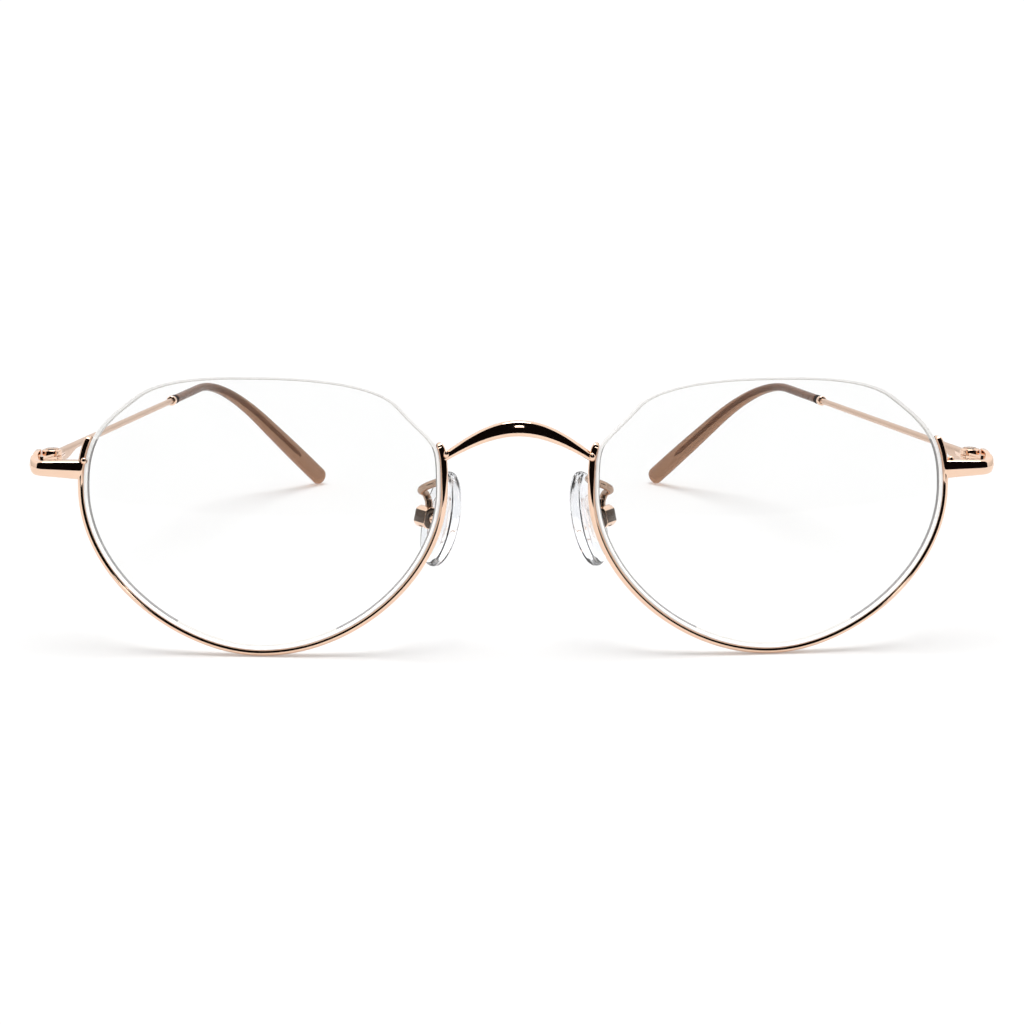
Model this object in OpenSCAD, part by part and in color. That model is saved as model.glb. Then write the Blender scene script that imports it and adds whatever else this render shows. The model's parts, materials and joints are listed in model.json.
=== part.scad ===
// Semi-rimless metal glasses: a metal rim holds the lower half of each lens and a
// nylon cord, hidden in the lens's edge, holds the upper half.
// Millimetres. X runs across the face with +X at the wearer's left, Y runs from the
// front to the ears, Z is up. The glasses stand open on their rims and temple tips.
// The origin is on the floor, in the middle of their length and width.
// Every piece of a pair is modelled on the wearer's left, and right() mirrors it.

/* [Lenses] */
// Width of a lens at its widest points
lens_w = 50; // [46:0.5:54]
// Height of a lens
lens_h = 39; // [36:0.5:42]
// Distance between the lenses over the nose
lens_spacing = 22; // [20:0.5:25]
// Thickness of a lens
lens_t = 2; // [1.8:0.1:2.4]
// Radius of the lens's curve
lens_curve = 120; // [90:5:240]
// Angle that each lens turns back towards its temple
lens_wrap = 4; // [0:0.5:6]
// Depth of the groove in the lens's edge
lens_groove = 0.6; // [0.5:0.05:0.8]
// Diameter of the nylon cord
cord_d = 0.5; // [0.4:0.05:0.55]

/* [Rims] */
// Thickness of a rim, seen from the front
rim_t = 1; // [0.9:0.05:1.4]
// Depth of a rim, from front to back
rim_d = 1.9; // [1.7:0.1:2.4]
// Width of the channel inside a rim
channel_w = 0.9; // [0.8:0.05:1]
// Depth of the channel inside a rim
channel_d = 0.5; // [0.4:0.05:0.6]
// How far the rim's end at the nose stays below the lens's top
nose_end_drop = 9.6; // [8:0.2:11]
// How far the rim's end at the temple stays below the lens's top
temple_end_drop = 9.2; // [7:0.2:11]
// Length of cord tucked into each end of a rim
cord_tuck = 3.2; // [2.4:0.2:4]

/* [Bridge] */
// How far the bridge's ends are below the lens's top
bridge_drop = 11.7; // [11:0.1:13]
// Rise of the bridge from its ends to its middle
bridge_rise = 4.6; // [2:0.1:7]
// Height of the bridge's bar at its middle
bridge_mid_h = 2.2; // [1.6:0.1:3]
// Height of the bridge's bar at its ends
bridge_end_h = 1.1; // [0.9:0.1:1.6]
// Depth of the bridge's bar
bridge_d = 1.8; // [1.4:0.1:2.4]
// How far the bridge bows forwards
bridge_bow = 2; // [0:0.2:4]

/* [End pieces and hinges] */
// How far an end piece stands out from its rim
lug_reach = 6.5; // [5.8:0.1:9]
// Height of an end piece where it crosses the rim
lug_h = 2.7; // [2.5:0.1:3.4]
// Thickness of an end piece's front bar
lug_t = 2.2; // [2:0.1:2.6]
// How far that bar stands proud of the rim's front
lug_lip = 0.35; // [0.25:0.05:0.5]
// How far that bar's top lies below the hinge's
lug_sink = 0.85; // [0.4:0.05:1]
// Thickness of the end piece's arm, which runs back to the hinge
lug_arm_t = 0.9; // [0.8:0.1:1.4]
// Height of the hinge's middle above the lens's middle
hinge_rise = 6.6; // [4:0.2:8]
// Distance from the end piece's front bar back to the hinge's axis
hinge_back = 4.6; // [4.2:0.1:7]
// Diameter of the hinge's knuckles
knuckle_d = 2.8; // [2.6:0.1:3.2]
// Height of the three knuckles together
hinge_h = 2.7; // [2.5:0.1:3.6]
// Diameter of the hinge screw's shank
hinge_screw_d = 1.1; // [0.9:0.1:1.3]
// Radial clearance of a screw in the part that turns on it
run_gap = 0.06; // [0.03:0.01:0.1]
// Gap between neighbouring knuckles
knuckle_gap = 0.06; // [0.04:0.01:0.1]

/* [Temples] */
// Distance from the hinge back to the corner of the bend
temple_reach = 103; // [92:1:112]
// How far that corner leans in towards the head
temple_lean = 13.5; // [8:0.5:18]
// How far that corner lies below the temple's root
temple_fall = 2.2; // [0:0.1:4]
// Radius of the bend
bend_r = 42; // [25:1:50]
// Distance from the corner of the bend back to the tip's end
tip_reach = 27; // [22:0.5:34]
// How far the tip's end leans in from that corner
tip_lean = 18; // [8:0.5:20]
// Height of a temple at its hinge
temple_root_h = 1.9; // [1.7:0.1:2.2]
// Length of the deeper part of a temple behind its hinge
temple_root_len = 11; // [9:0.5:14]
// Thickness of a temple at its hinge
temple_root_w = 1.2; // [1:0.1:1.4]
// Diameter of a temple where it enters its tip
temple_wire_d = 1; // [0.9:0.05:1.2]
// Length of the plastic tip
tip_len = 73; // [58:1:78]
// Diameter of the tip where it starts
tip_root_d = 1.5; // [1.5:0.1:2.2]
// Height of the tip at its end
tip_end_h = 3.5; // [2.8:0.1:4.5]
// Thickness of the tip at its end
tip_end_w = 2.7; // [2.2:0.1:3.2]
// Plain plastic past the end of the wire
tip_plain = 9; // [6:0.5:14]
// Length of the metal collar in front of the tip
collar_len = 1.1; // [0.8:0.1:2]
// Length of the dark ring between collar and tip
ring_len = 1.6; // [0.8:0.1:2.4]

/* [Nose pads] */
// Length of a nose pad
pad_len = 14; // [12:0.5:16]
// Width of a nose pad
pad_w = 7.8; // [7:0.2:9]
// Thickness of a nose pad at its middle
pad_t = 2.6; // [2.2:0.1:3.2]
// Distance from one pad's middle to the other's
pad_spacing = 21.2; // [20:0.2:24]
// Distance of the pads' middles behind the lenses
pad_back = 9.6; // [8.6:0.2:11]
// How far the pads' middles are below the lens's middle
pad_drop = 2.4; // [1:0.2:3.4]
// Angle of a pad, seen from above
pad_splay = 33; // [20:1:40]
// Angle of a pad, seen from the front
pad_tilt = 14; // [8:1:18]
// Diameter of the wire that carries a pad
arm_d = 1.1; // [0.9:0.05:1.2]
// Diameter of the pad screw's shank
pad_screw_d = 0.9; // [0.8:0.05:1]

/* [Hidden] */
$fn = 48;

// Gap between a lens and its rim, and between pieces pushed together by hand
fit_gap = 0.04;
rose_gold = [0.80, 0.58, 0.47];
up = [0, 0, 1];

// ---------- helpers ----------

function unit(v) = v / norm(v);
function mix(a, b, t) = a + (b - a) * t;
// 0 at and before a, 1 at and after b, and smooth between them
function ease(a, b, x) = let (t = min(1, max(0, (x - a) / (b - a)))) t * t * (3 - 2 * t);

// A point of a cubic Bezier curve with the control points p, and its heading
function bezier(p, t) = pow(1 - t, 3) * p[0] + 3 * pow(1 - t, 2) * t * p[1]
    + 3 * (1 - t) * t * t * p[2] + t * t * t * p[3];
function bezier_heading(p, t) = unit(pow(1 - t, 2) * (p[1] - p[0])
    + 2 * (1 - t) * t * (p[2] - p[1]) + t * t * (p[3] - p[2]));

// A smooth curve through a list of points, at t from 0 to 1
function through(pts, t) = let (
    last = len(pts) - 1,
    i = min(last - 1, floor(t * last)),
    u = t * last - i,
    a = pts[max(0, i - 1)], b = pts[i], c = pts[i + 1], d = pts[min(last, i + 2)])
    0.5 * (2 * b + (c - a) * u + (2 * a - 5 * b + 4 * c - d) * u * u
    + (3 * b - a - 3 * c + d) * u * u * u);

// A closed solid over rings that have equally many points each. A ring list that ends
// in a single point, given as tip or tail, closes there, and otherwise with a flat face.
module skin(rings, tip = undef, tail = undef) {
    n = len(rings[0]);
    last = (len(rings) - 1) * n;
    pts = concat([for (r = rings) each r], [is_undef(tip) ? rings[0][0] : tip],
        [is_undef(tail) ? rings[0][0] : tail]);
    walls = [for (i = [0 : len(rings) - 2], j = [0 : n - 1])
        let (k = (j + 1) % n, a = i * n, b = a + n)
        each [[a + j, b + j, b + k], [a + j, b + k, a + k]]];
    start = is_undef(tip) ? [[for (j = [0 : n - 1]) j]]
        : [for (j = [0 : n - 1]) [last + n, j, (j + 1) % n]];
    end = is_undef(tail) ? [[for (j = [n - 1 : -1 : 0]) last + j]]
        : [for (j = [0 : n - 1]) [last + n + 1, last + (j + 1) % n, last + j]];
    polyhedron(pts, concat(walls, start, end), convexity = 8);
}

// A ring of n points round centre, at half sizes a along side and b along top
function oval(centre, side, top, a, b, n) = [for (i = [0 : n - 1])
    centre + side * a * cos(i * 360 / n) - top * b * sin(i * 360 / n)];

// A round wire along the path p(t), given as points
module wire(path, d, sides) {
    last = len(path) - 1;
    skin([for (i = [0 : last]) let (
        way = unit(path[min(last, i + 1)] - path[max(0, i - 1)]),
        side = unit(cross(way, abs(way[2]) > 0.9 ? [0, 1, 0] : up)))
        oval(path[i], side, cross(side, way), d / 2, d / 2, sides)]);
}

// ---------- the lens's outline ----------

lens_x = lens_spacing / 2 + lens_w / 2;
lens_z = rim_t + lens_h / 2;

// Six knots round the edge, from the temple side over the top: across and up as shares
// of half the lens's width and height, the heading there in degrees, and how far the
// curve is pulled along it before and after, as shares of the step to the next knot.
knots = [
    [1, 0.15, 90, 0.37, 0.49],
    [0.69, 0.85, 143, 0.4, 0.3],
    [0, 1, 180, 0.22, 0.23],
    [-0.77, 0.79, 228, 0.26, 0.6],
    [-1, 0.17, 270, 0.59, 0.33],
    [0.02, -1, 0, 0.39, 0.33]];
function knot(i) = [knots[i % 6][0] * lens_w / 2, knots[i % 6][1] * lens_h / 2];
function knot_way(i) = [cos(knots[i % 6][2]), sin(knots[i % 6][2])];
function knot_step(i) = let (a = knot(i), b = knot(i + 1), l = norm(b - a)) [a,
    a + l * knots[i % 6][4] * knot_way(i),
    b - l * knots[(i + 1) % 6][3] * knot_way(i + 1), b];

// The edge at s, which is a knot's number and the share of the way to the next one
function edge(s) = bezier(knot_step(floor(s) % 6), s - floor(s));
function edge_out(s) = let (way = bezier_heading(knot_step(floor(s) % 6), s - floor(s)))
    [way[1], -way[0]];
// The s between a and b where the edge is at the height v above the lens's middle
function edge_at(v, a, b, n = 24) = let (m = (a + b) / 2) n == 0 ? m
    : (edge(m)[1] - v) * (edge(b)[1] - v) > 0 ? edge_at(v, a, m, n - 1) : edge_at(v, m, b, n - 1);
// How much s changes over one millimetre of edge near s
function edge_mm(s) = 0.02 / norm(edge(s + 0.01) - edge(s - 0.01));

// The place of a point p of the lens's outline, w behind the middle of its thickness
function on_lens(p, w) = let (
    k = 1 - w / lens_curve,
    y = lens_curve - sqrt(lens_curve * lens_curve - p * p) * k)
    [lens_x + p[0] * k * cos(lens_wrap) - y * sin(lens_wrap),
    p[0] * k * sin(lens_wrap) + y * cos(lens_wrap), lens_z + p[1] * k];
// The place n outside the lens's edge at s, w behind the middle of its thickness
function beside(s, n, w) = on_lens(edge(s) + n * edge_out(s), w);
// A profile of [outside, behind] points, carried to s
function carried(profile, s) = [for (q = profile) beside(s, q[0], q[1])];

rim_from = edge_at(lens_h / 2 - nose_end_drop, 3, 4);
rim_to = 6 + edge_at(lens_h / 2 - temple_end_drop, 0, 1);
cord_from = rim_to - 6 - cord_tuck * edge_mm(rim_to);
cord_to = rim_from + cord_tuck * edge_mm(rim_from);

// ---------- rims, liners, cords and lenses ----------

// Half of the rim's section is the other half's mirror image. The channel faces the lens.
rim_half = [[1, 0.1], [0.9, 0.34], [0.55, 0.5], [0, 0.5]];
channel = [[0, channel_w / 2], [channel_d, channel_w / 2],
    [channel_d, -channel_w / 2], [0, -channel_w / 2]];
// What is brazed to a rim is cut to its outside by a blank that is filled well past the channel
filled = [[-2, rim_d / 2], [-2, -rim_d / 2]];
function rim_profile(inner, size = 1) = [for (p = concat(
    [for (p = rim_half) [p[0] * rim_t, p[1] * rim_d]], inner,
    [for (i = [3 : -1 : 0]) [rim_half[i][0] * rim_t, -rim_half[i][1] * rim_d]]))
    [mix(rim_t / 2, p[0], size), p[1] * size]];

// The rim's rounded ends: the share of full size at so many millimetres from the end
rim_ends = [[0, 0.4], [0.12, 0.72], [0.4, 0.95], [0.8, 1]];
rim_steps = 46;
// Every stop along the rim, from the nose round below the lens to the temple: [s, size]
rim_stops = concat(
    [for (e = rim_ends) [rim_from + e[0] * edge_mm(rim_from), e[1]]],
    [for (i = [1 : rim_steps - 1])
        [mix(rim_from + edge_mm(rim_from), rim_to - edge_mm(rim_to), i / rim_steps), 1]],
    [for (i = [3 : -1 : 0]) [rim_to - rim_ends[i][0] * edge_mm(rim_to), rim_ends[i][1]]]);
module rim_body(inner, first = 0, last = len(rim_stops) - 1)
    skin([for (i = [first : last]) carried(rim_profile(inner, rim_stops[i][1]), rim_stops[i][0])]);
module nose_side_blank() rim_body(filled, 0, 12);
module temple_side_blank() rim_body(filled, len(rim_stops) - 13);

module rim() color(rose_gold) rim_body(channel);

// A nylon strip that lines the rim's channel and enters the lens's groove
module rim_liner(steps = 36) color("gainsboro") {
    w = channel_w / 2 - fit_gap;
    n = channel_d - fit_gap;
    ridge = lens_groove * 0.7;
    profile = [[n, w], [0, w], [-ridge, w / 2], [-ridge, -w / 2], [0, -w], [n, -w]];
    from = cord_to + 0.4 * edge_mm(rim_from);
    to = cord_from + 6 - 0.4 * edge_mm(rim_to);
    skin([for (i = [0 : steps]) carried(profile, mix(from, to, i / steps))]);
}

module lens(around = 72) {
    half = lens_t / 2;
    mouth = channel_w / 2;
    floor_w = cord_d / 2 + fit_gap;
    function face(share, w) = [for (i = [0 : around - 1]) on_lens((edge(i * 6 / around)
        - fit_gap * edge_out(i * 6 / around)) * share, w)];
    function rim_line(n, w) = [for (i = [0 : around - 1]) beside(i * 6 / around, n, w)];
    color([0.85, 0.92, 0.95, 0.35]) skin([face(0.4, half), face(0.75, half),
        rim_line(-0.2, half), rim_line(-fit_gap, half - 0.2), rim_line(-fit_gap, mouth),
        rim_line(-lens_groove, floor_w), rim_line(-lens_groove, -floor_w),
        rim_line(-fit_gap, -mouth), rim_line(-fit_gap, 0.2 - half), rim_line(-0.2, -half),
        face(0.75, -half), face(0.4, -half)],
        tip = on_lens([0, 0], half), tail = on_lens([0, 0], -half));
}

// The cord lies in the lens's groove, and each end turns out into the rim's channel
module nylon_cord(steps = 36) {
    function depth(s) = let (into = min(s - cord_from, cord_to - s) / edge_mm(s))
        mix(channel_d - cord_d / 2 - fit_gap, cord_d / 2 + fit_gap - lens_groove, ease(0, 2.4, into));
    color([0.9, 0.92, 0.94, 0.6]) skin([for (i = [0 : steps])
        let (s = mix(cord_from, cord_to, i / steps), d = depth(s), r = cord_d / 2)
        [for (k = [0 : 7]) beside(s, d + r * cos(k * 45), r * sin(k * 45))]]);
}

// ---------- bridge ----------

bridge_s = edge_at(lens_h / 2 - bridge_drop, 3, 4);
bridge_end = beside(bridge_s, rim_t * 0.4, 0);
// Points of the bar's section: [back, up] as shares of its depth and height
bridge_profile = [[-0.4, -0.38], [-0.15, -0.5], [0.2, -0.5], [0.4, -0.42], [0.5, -0.2],
    [0.5, 0.15], [0.42, 0.4], [0.2, 0.5], [-0.12, 0.5], [-0.3, 0.4], [-0.44, 0.12], [-0.5, -0.15]];

module bridge(steps = 28) {
    function place(t) = [bridge_end[0] * t, bridge_end[1] - bridge_bow * cos(90 * t),
        bridge_end[2] + bridge_rise * cos(90 * t)];
    color(rose_gold) difference() {
        skin([for (i = [0 : steps]) let (
            t = 2 * i / steps - 1,
            way = unit(place(t + 0.02) - place(t - 0.02)),
            back = unit(cross(up, way)),
            high = cross(way, back),
            h = mix(bridge_end_h, bridge_mid_h, pow(cos(90 * t), 1.2)),
            d = mix(bridge_d * 0.85, bridge_d, cos(90 * t)))
            [for (q = bridge_profile) place(t) + back * q[0] * d + high * q[1] * h]]);
        nose_side_blank();
        mirror([1, 0, 0]) nose_side_blank();
    }
}

// ---------- end pieces ----------

hinge_z = lens_z + hinge_rise;
rim_side = beside(edge_at(hinge_rise, 0, 1), rim_t, 0);
lug_out = lens_x + lens_w / 2 + rim_t + lug_reach;
lug_top = hinge_z + hinge_h / 2;
// The end piece's inner face: along the back of its front bar, round the corner, then
// back along the arm to the hinge
lug_front = rim_side[1] - rim_d / 2 - lug_lip + lug_t;
arm_in = lug_out - lug_arm_t;
lug_turn = 0.9;
hinge_x = arm_in - knuckle_d / 2 - 0.1;
hinge_y = rim_side[1] + hinge_back;

// A station of the end piece: [place on that face, way out of it, thickness, height, top].
// k runs from 0 to 1 along the bar, to 2 round the corner and to 3 along the arm.
function lug_station(k) = let (
    turn = 90 * min(1, max(0, k - 1)),
    out = [sin(turn), -cos(turn)],
    corner = [arm_in - lug_turn, lug_front + lug_turn])
    [k < 1 ? [mix(rim_side[0] - 0.6 * rim_t, corner[0], k), lug_front]
        : k <= 2 ? corner + lug_turn * out : [arm_in, mix(corner[1], hinge_y, k - 2)],
    out, mix(lug_t, lug_arm_t, turn / 90), mix(lug_h, hinge_h * 0.8, min(1, k)),
    lug_top - lug_sink * (1 - ease(1, 2.6, k))];
// The stations round its corner
lug_bend = [for (i = [0 : 8]) 1 + i / 8];
// Points of its section: [out, up from the top], as shares of its thickness and height
lug_profile = [[0, -0.08], [0.1, 0], [0.66, 0], [0.8, -0.08], [0.94, -0.34], [1, -0.52],
    [0.94, -0.7], [0.8, -0.94], [0.62, -1], [0.12, -1], [0, -0.9]];

// The front bar crosses in front of the rim and is cut to it
module end_piece() color(rose_gold) difference() {
    skin([for (k = concat([0, 0.5], lug_bend, [2.3, 2.6, 3]))
        let (st = lug_station(k), face = st[0], out = st[1], thick = st[2])
        [for (q = lug_profile) [face[0] + out[0] * q[0] * thick, face[1] + out[1] * q[0] * thick,
            st[4] + q[1] * st[3]]]]);
    temple_side_blank();
}

// ---------- hinges ----------

knuckle_h = (hinge_h - 2 * knuckle_gap) / 3;
slot_h = knuckle_h + 2 * knuckle_gap;
module at_hinge(z) translate([hinge_x, hinge_y, hinge_z + z]) children();

// Two round knuckles on a plate that narrows towards them and is brazed inside the corner
module front_hinge() color(rose_gold) difference() {
    union() {
        at_hinge(-hinge_h / 2) cylinder(d = knuckle_d, h = hinge_h);
        translate([0, 0, hinge_z - hinge_h / 2]) linear_extrude(hinge_h)
            polygon(concat([[hinge_x, hinge_y] - knuckle_d / 2 * [cos(45), sin(45)]],
                [for (k = lug_bend) lug_station(k)[0]], [[arm_in, hinge_y], [hinge_x, hinge_y]]));
    }
    // the slot for the temple's knuckle
    at_hinge(-slot_h / 2) cylinder(d = knuckle_d + 2 * run_gap + 0.1, h = slot_h);
    at_hinge(-slot_h / 2) translate([-knuckle_d, -0.2, 0]) cube([2 * knuckle_d, knuckle_d, slot_h]);
    at_hinge(-hinge_h / 2 - 1) cylinder(d = hinge_screw_d + 0.02, h = hinge_h + 2);
    at_hinge(hinge_h / 2 - head_sink) cylinder(d = head_d + 2 * fit_gap, h = 1);
}

head_d = hinge_screw_d + 0.7;
head_sink = 0.3;
// The screw's head is let into the upper knuckle, and its end shows under the lower one
module hinge_screw() color("silver") difference() {
    union() {
        at_hinge(-hinge_h / 2 - 0.15) cylinder(d = hinge_screw_d, h = hinge_h + 0.15 - head_sink + 0.1);
        at_hinge(hinge_h / 2 - head_sink) cylinder(d = head_d, h = head_sink + 0.1);
    }
    at_hinge(hinge_h / 2 - 0.1) translate([-head_d, -0.13, 0]) cube([2 * head_d, 0.26, 1]);
}

// ---------- temples ----------

hinge = [hinge_x, hinge_y, hinge_z];
// The temple's middle line starts above the hinge's middle, so that its top edge is straight
// and only its underside is deeper at the root
root = hinge + [0, 0, (temple_root_h - temple_wire_d) / 2];
tip_slope = asin((hinge_z - temple_fall) / norm([tip_lean, tip_reach, hinge_z - temple_fall]));
// The tip's rounded end: the share of its full size at so many millimetres from the end
tip_ends = [[0.9, 1], [0.45, 0.93], [0.15, 0.78], [0, 0.55]];
// The height that lets the lowest of these stand on the floor
tip_z = max([for (e = tip_ends) tip_end_h / 2 * e[1] * cos(tip_slope) - e[0] * sin(tip_slope)]);
corner = root + [-temple_lean, temple_reach, -temple_fall];
tip_end = [corner[0] - tip_lean, corner[1] + tip_reach, tip_z];
way_1 = unit(corner - root);
way_2 = unit(tip_end - corner);
bend = acos(way_1 * way_2);
bend_cut = bend_r * tan(bend / 2);
bend_in = unit(way_2 - way_1 * (way_1 * way_2));
straight_1 = norm(corner - root) - bend_cut;
bend_len = bend_r * bend * PI / 180;
temple_len = straight_1 + bend_len + norm(tip_end - corner) - bend_cut;
tip_start = temple_len - tip_len;
ring_start = tip_start - ring_len;
collar_start = ring_start - collar_len;
wire_end = temple_len - tip_plain;

// The temple's middle line, and its heading, r along it from its root
function turned(r) = (r - straight_1) / bend_len * bend;
function line(r) = r <= straight_1 ? root + way_1 * r
    : r < straight_1 + bend_len
    ? root + way_1 * straight_1 + bend_r * (way_1 * sin(turned(r)) + bend_in * (1 - cos(turned(r))))
    : tip_end - way_2 * (temple_len - r);
function heading(r) = r <= straight_1 ? way_1
    : r < straight_1 + bend_len ? way_1 * cos(turned(r)) + bend_in * sin(turned(r)) : way_2;
// A ring round the line at r, w thick and h high, with n points
function around(r, w, h, n) = let (side = unit(cross(heading(r), up)))
    oval(line(r), side, cross(side, heading(r)), w / 2, h / 2, n);

// Stops along the wire inside the tip, close together where it bends
wire_stops = concat([tip_start], [for (i = [0 : 8]) straight_1 + i / 8 * bend_len], [wire_end]);

// The temple's own knuckle, and the tongue that joins it to the temple's root
root_at = knuckle_d / 2 + 0.25;
tongue = 2.6;
module temple_hinge() color(rose_gold) difference() {
    union() {
        at_hinge(-knuckle_h / 2) cylinder(d = knuckle_d, h = knuckle_h);
        at_hinge(-knuckle_h / 2) rotate([0, 0, atan2(temple_lean, temple_reach)])
            translate([-temple_root_w / 2, 0, 0]) cube([temple_root_w, root_at + tongue, knuckle_h]);
    }
    at_hinge(-knuckle_h) cylinder(d = hinge_screw_d + 2 * run_gap, h = 2 * knuckle_h);
}

// Deep at the hinge, then a slim rod, then a wire inside the tip. Its root is forked over
// the hinge's tongue.
module temple() color(rose_gold) difference() {
    root_stops = [root_at, for (i = [0 : 5]) mix(temple_root_len * 0.5, temple_root_len, i / 5)];
    stops = concat(root_stops, [for (i = [1 : 5]) mix(temple_root_len, collar_start, i / 5)], wire_stops);
    skin([for (r = stops) let (
        w = mix(temple_root_w, temple_wire_d, ease(root_at, collar_start * 0.8, r)),
        h = mix(temple_root_h, temple_wire_d, ease(temple_root_len * 0.5, temple_root_len, r)))
        [for (p = around(r, w, h, 12)) p - [0, 0, (h - temple_wire_d) / 2]]]);
    at_hinge(-knuckle_h / 2) rotate([0, 0, atan2(temple_lean, temple_reach)])
        translate([-temple_root_w, 0, 0]) cube([2 * temple_root_w, root_at + tongue, knuckle_h]);
}

module on_temple(r) translate(line(r)) rotate([0, 0, atan2(temple_lean, temple_reach)])
    rotate([-90 - asin(-way_1[2]), 0, 0]) children();

wire_bore = temple_wire_d + 2 * fit_gap;
// A rounded metal collar
module tip_collar() color(rose_gold) on_temple(collar_start) rotate_extrude() {
    collar_r = tip_root_d / 2 + 0.1;
    round_r = 0.25;
    difference() {
        union() {
            square([collar_r - round_r, collar_len]);
            translate([0, round_r]) square([collar_r, collar_len - 2 * round_r]);
            for (y = [round_r, collar_len - round_r])
                translate([collar_r - round_r, y]) circle(r = round_r, $fn = 24);
        }
        square([wire_bore / 2, collar_len]);
    }
}

module tip_ring() color([0.12, 0.1, 0.1]) on_temple(ring_start) difference() {
    cylinder(d = tip_root_d + 0.1, h = ring_len - 0.01);
    translate([0, 0, -1]) cylinder(d = wire_bore, h = ring_len + 2);
}

// A plastic sleeve over the temple's wire, with a blind bore and a rounded end
module temple_tip() {
    function wide(r) = mix(tip_root_d, tip_end_w, ease(tip_start + tip_len * 0.25, temple_len - 4, r));
    function high(r) = mix(tip_root_d, tip_end_h, ease(tip_start + tip_len * 0.25, temple_len - 4, r));
    bore_stops = concat([wire_end + 0.3], [for (i = [len(wire_stops) - 1 : -1 : 0]) wire_stops[i]]);
    stops = concat([for (i = [0 : 24]) [mix(tip_start, temple_len - 1.6, i / 24), 1]],
        [for (e = tip_ends) [temple_len - e[0], e[1]]]);
    color([0.45, 0.31, 0.25]) skin(concat(
        [for (r = bore_stops) around(r, wire_bore, wire_bore, 12)],
        [for (q = stops) around(q[0], wide(q[0]) * q[1], high(q[0]) * q[1], 12)]));
}

// ---------- nose pads ----------

pad_middle = [pad_spacing / 2, pad_back, lens_z - pad_drop];
// The pad's own axes: X out of its back, Y across it, Z along it
module at_pad() translate(pad_middle) rotate([0, 0, -pad_splay]) rotate([0, -pad_tilt, 0]) children();
function from_pad(p) = let (
    x = p[0] * cos(pad_tilt) - p[2] * sin(pad_tilt),
    z = p[0] * sin(pad_tilt) + p[2] * cos(pad_tilt)) pad_middle
    + [x * cos(pad_splay) + p[1] * sin(pad_splay), p[1] * cos(pad_splay) - x * sin(pad_splay), z];

pad_back_t = pad_t * 0.42;
plate_t = 0.6;
plate_len = pad_len * 0.5;
plate_w = pad_w * 0.42;
ear_t = 0.9;
ear_r = 0.8;
screw_x = pad_back_t + 1.5;
box_x = pad_back_t + 0.55;
box_len = 2.3;
box_w = 2.7;
box_h = 3.1;
box_lid = 0.45;

// A flat oval plate: a strip with round ends, lying on x = 0 with its length along Z
module long_plate(len, w, t) rotate([0, 90, 0]) linear_extrude(t) {
    square([len - w, w], center = true);
    for (x = [-1, 1]) translate([x * (len - w) / 2, 0]) circle(d = w);
}

// Soft pad: crowned on the nose's side, flatter at the back, with a pocket for the insert
module nose_pad(around = 24) {
    function loop(share, x) = [for (i = [0 : around - 1]) let (a = i * 360 / around)
        [x, share * pad_w / 2 * cos(a) * (1 - 0.06 * sin(a)), share * pad_len / 2 * sin(a)]];
    nose_t = pad_t - pad_back_t;
    color([0.92, 0.94, 0.96, 0.5]) at_pad() difference() {
        skin([loop(0.45, -nose_t * 0.93), loop(0.75, -nose_t * 0.74), loop(0.93, -nose_t * 0.42),
            loop(1, -0.12), loop(0.985, pad_back_t * 0.4), loop(0.9, pad_back_t * 0.8),
            loop(0.7, pad_back_t)], tip = [-nose_t, 0, 0]);
        translate([pad_back_t - plate_t, 0, 0])
            long_plate(plate_len + 2 * fit_gap, plate_w + 2 * fit_gap, plate_t + 1);
    }
}

// The insert carries an ear that the pad screw passes through
module pad_insert() color([0.93, 0.93, 0.9, 0.8]) at_pad() difference() {
    union() {
        translate([pad_back_t - plate_t, 0, 0]) long_plate(plate_len, plate_w, plate_t);
        translate([pad_back_t - 0.1, -ear_t / 2, -ear_r])
            cube([screw_x - pad_back_t + 0.1, ear_t, 2 * ear_r]);
        translate([screw_x, -ear_t / 2, 0]) rotate([-90, 0, 0]) cylinder(r = ear_r, h = ear_t);
    }
    translate([screw_x, -ear_t, 0]) rotate([-90, 0, 0])
        cylinder(d = pad_screw_d + 2 * run_gap, h = 2 * ear_t);
}

// The box that holds the ear, open towards the pad and below
module box_block() intersection() {
    translate([box_x, -box_w / 2, -box_h / 2]) cube([box_len, box_w, box_h]);
    translate([box_x + box_len / 2 - 0.3, -box_w, 0]) rotate([-90, 0, 0])
        cylinder(d = box_h + 0.3, h = 2 * box_w);
}
module pad_box() color(rose_gold) at_pad() difference() {
    box_block();
    translate([box_x - 1, -ear_t / 2 - 0.1, -box_h / 2 - 1])
        cube([screw_x - box_x + ear_r + 1.15, ear_t + 0.2, box_h - box_lid + 1]);
    translate([screw_x, -box_w, 0]) rotate([-90, 0, 0]) cylinder(d = pad_screw_d + 0.02, h = 2 * box_w);
}

module pad_screw() color("silver") at_pad() translate([screw_x, 0, 0]) rotate([90, 0, 0]) difference() {
    union() {
        translate([0, 0, -box_w / 2]) cylinder(d = pad_screw_d, h = box_w + 0.1);
        translate([0, 0, box_w / 2 + 0.01]) cylinder(d = pad_screw_d + 0.6, h = 0.4);
    }
    translate([-2, -0.12, box_w / 2 + 0.26]) cube([4, 0.24, 1]);
}

// A wire from the back of the rim, out behind the lens, round and down to the box's lid
arm_root = beside(edge_at(hinge_rise - 2, 3, 4), rim_t * 0.6, rim_d * 0.3);
box_seat = from_pad([box_x + box_len * 0.45, 0, box_h / 2 - 0.2]);
arm_path = [arm_root, arm_root + [-0.2, 1.9, 0], arm_root + [0.9, 3.6, -0.7],
    arm_root + [2.5, 4.6, -1.5], box_seat + [1.1, -0.8, 2.7], box_seat + [0.5, 0.4, 2],
    box_seat + [0.05, 0.2, 1], box_seat];

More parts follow.
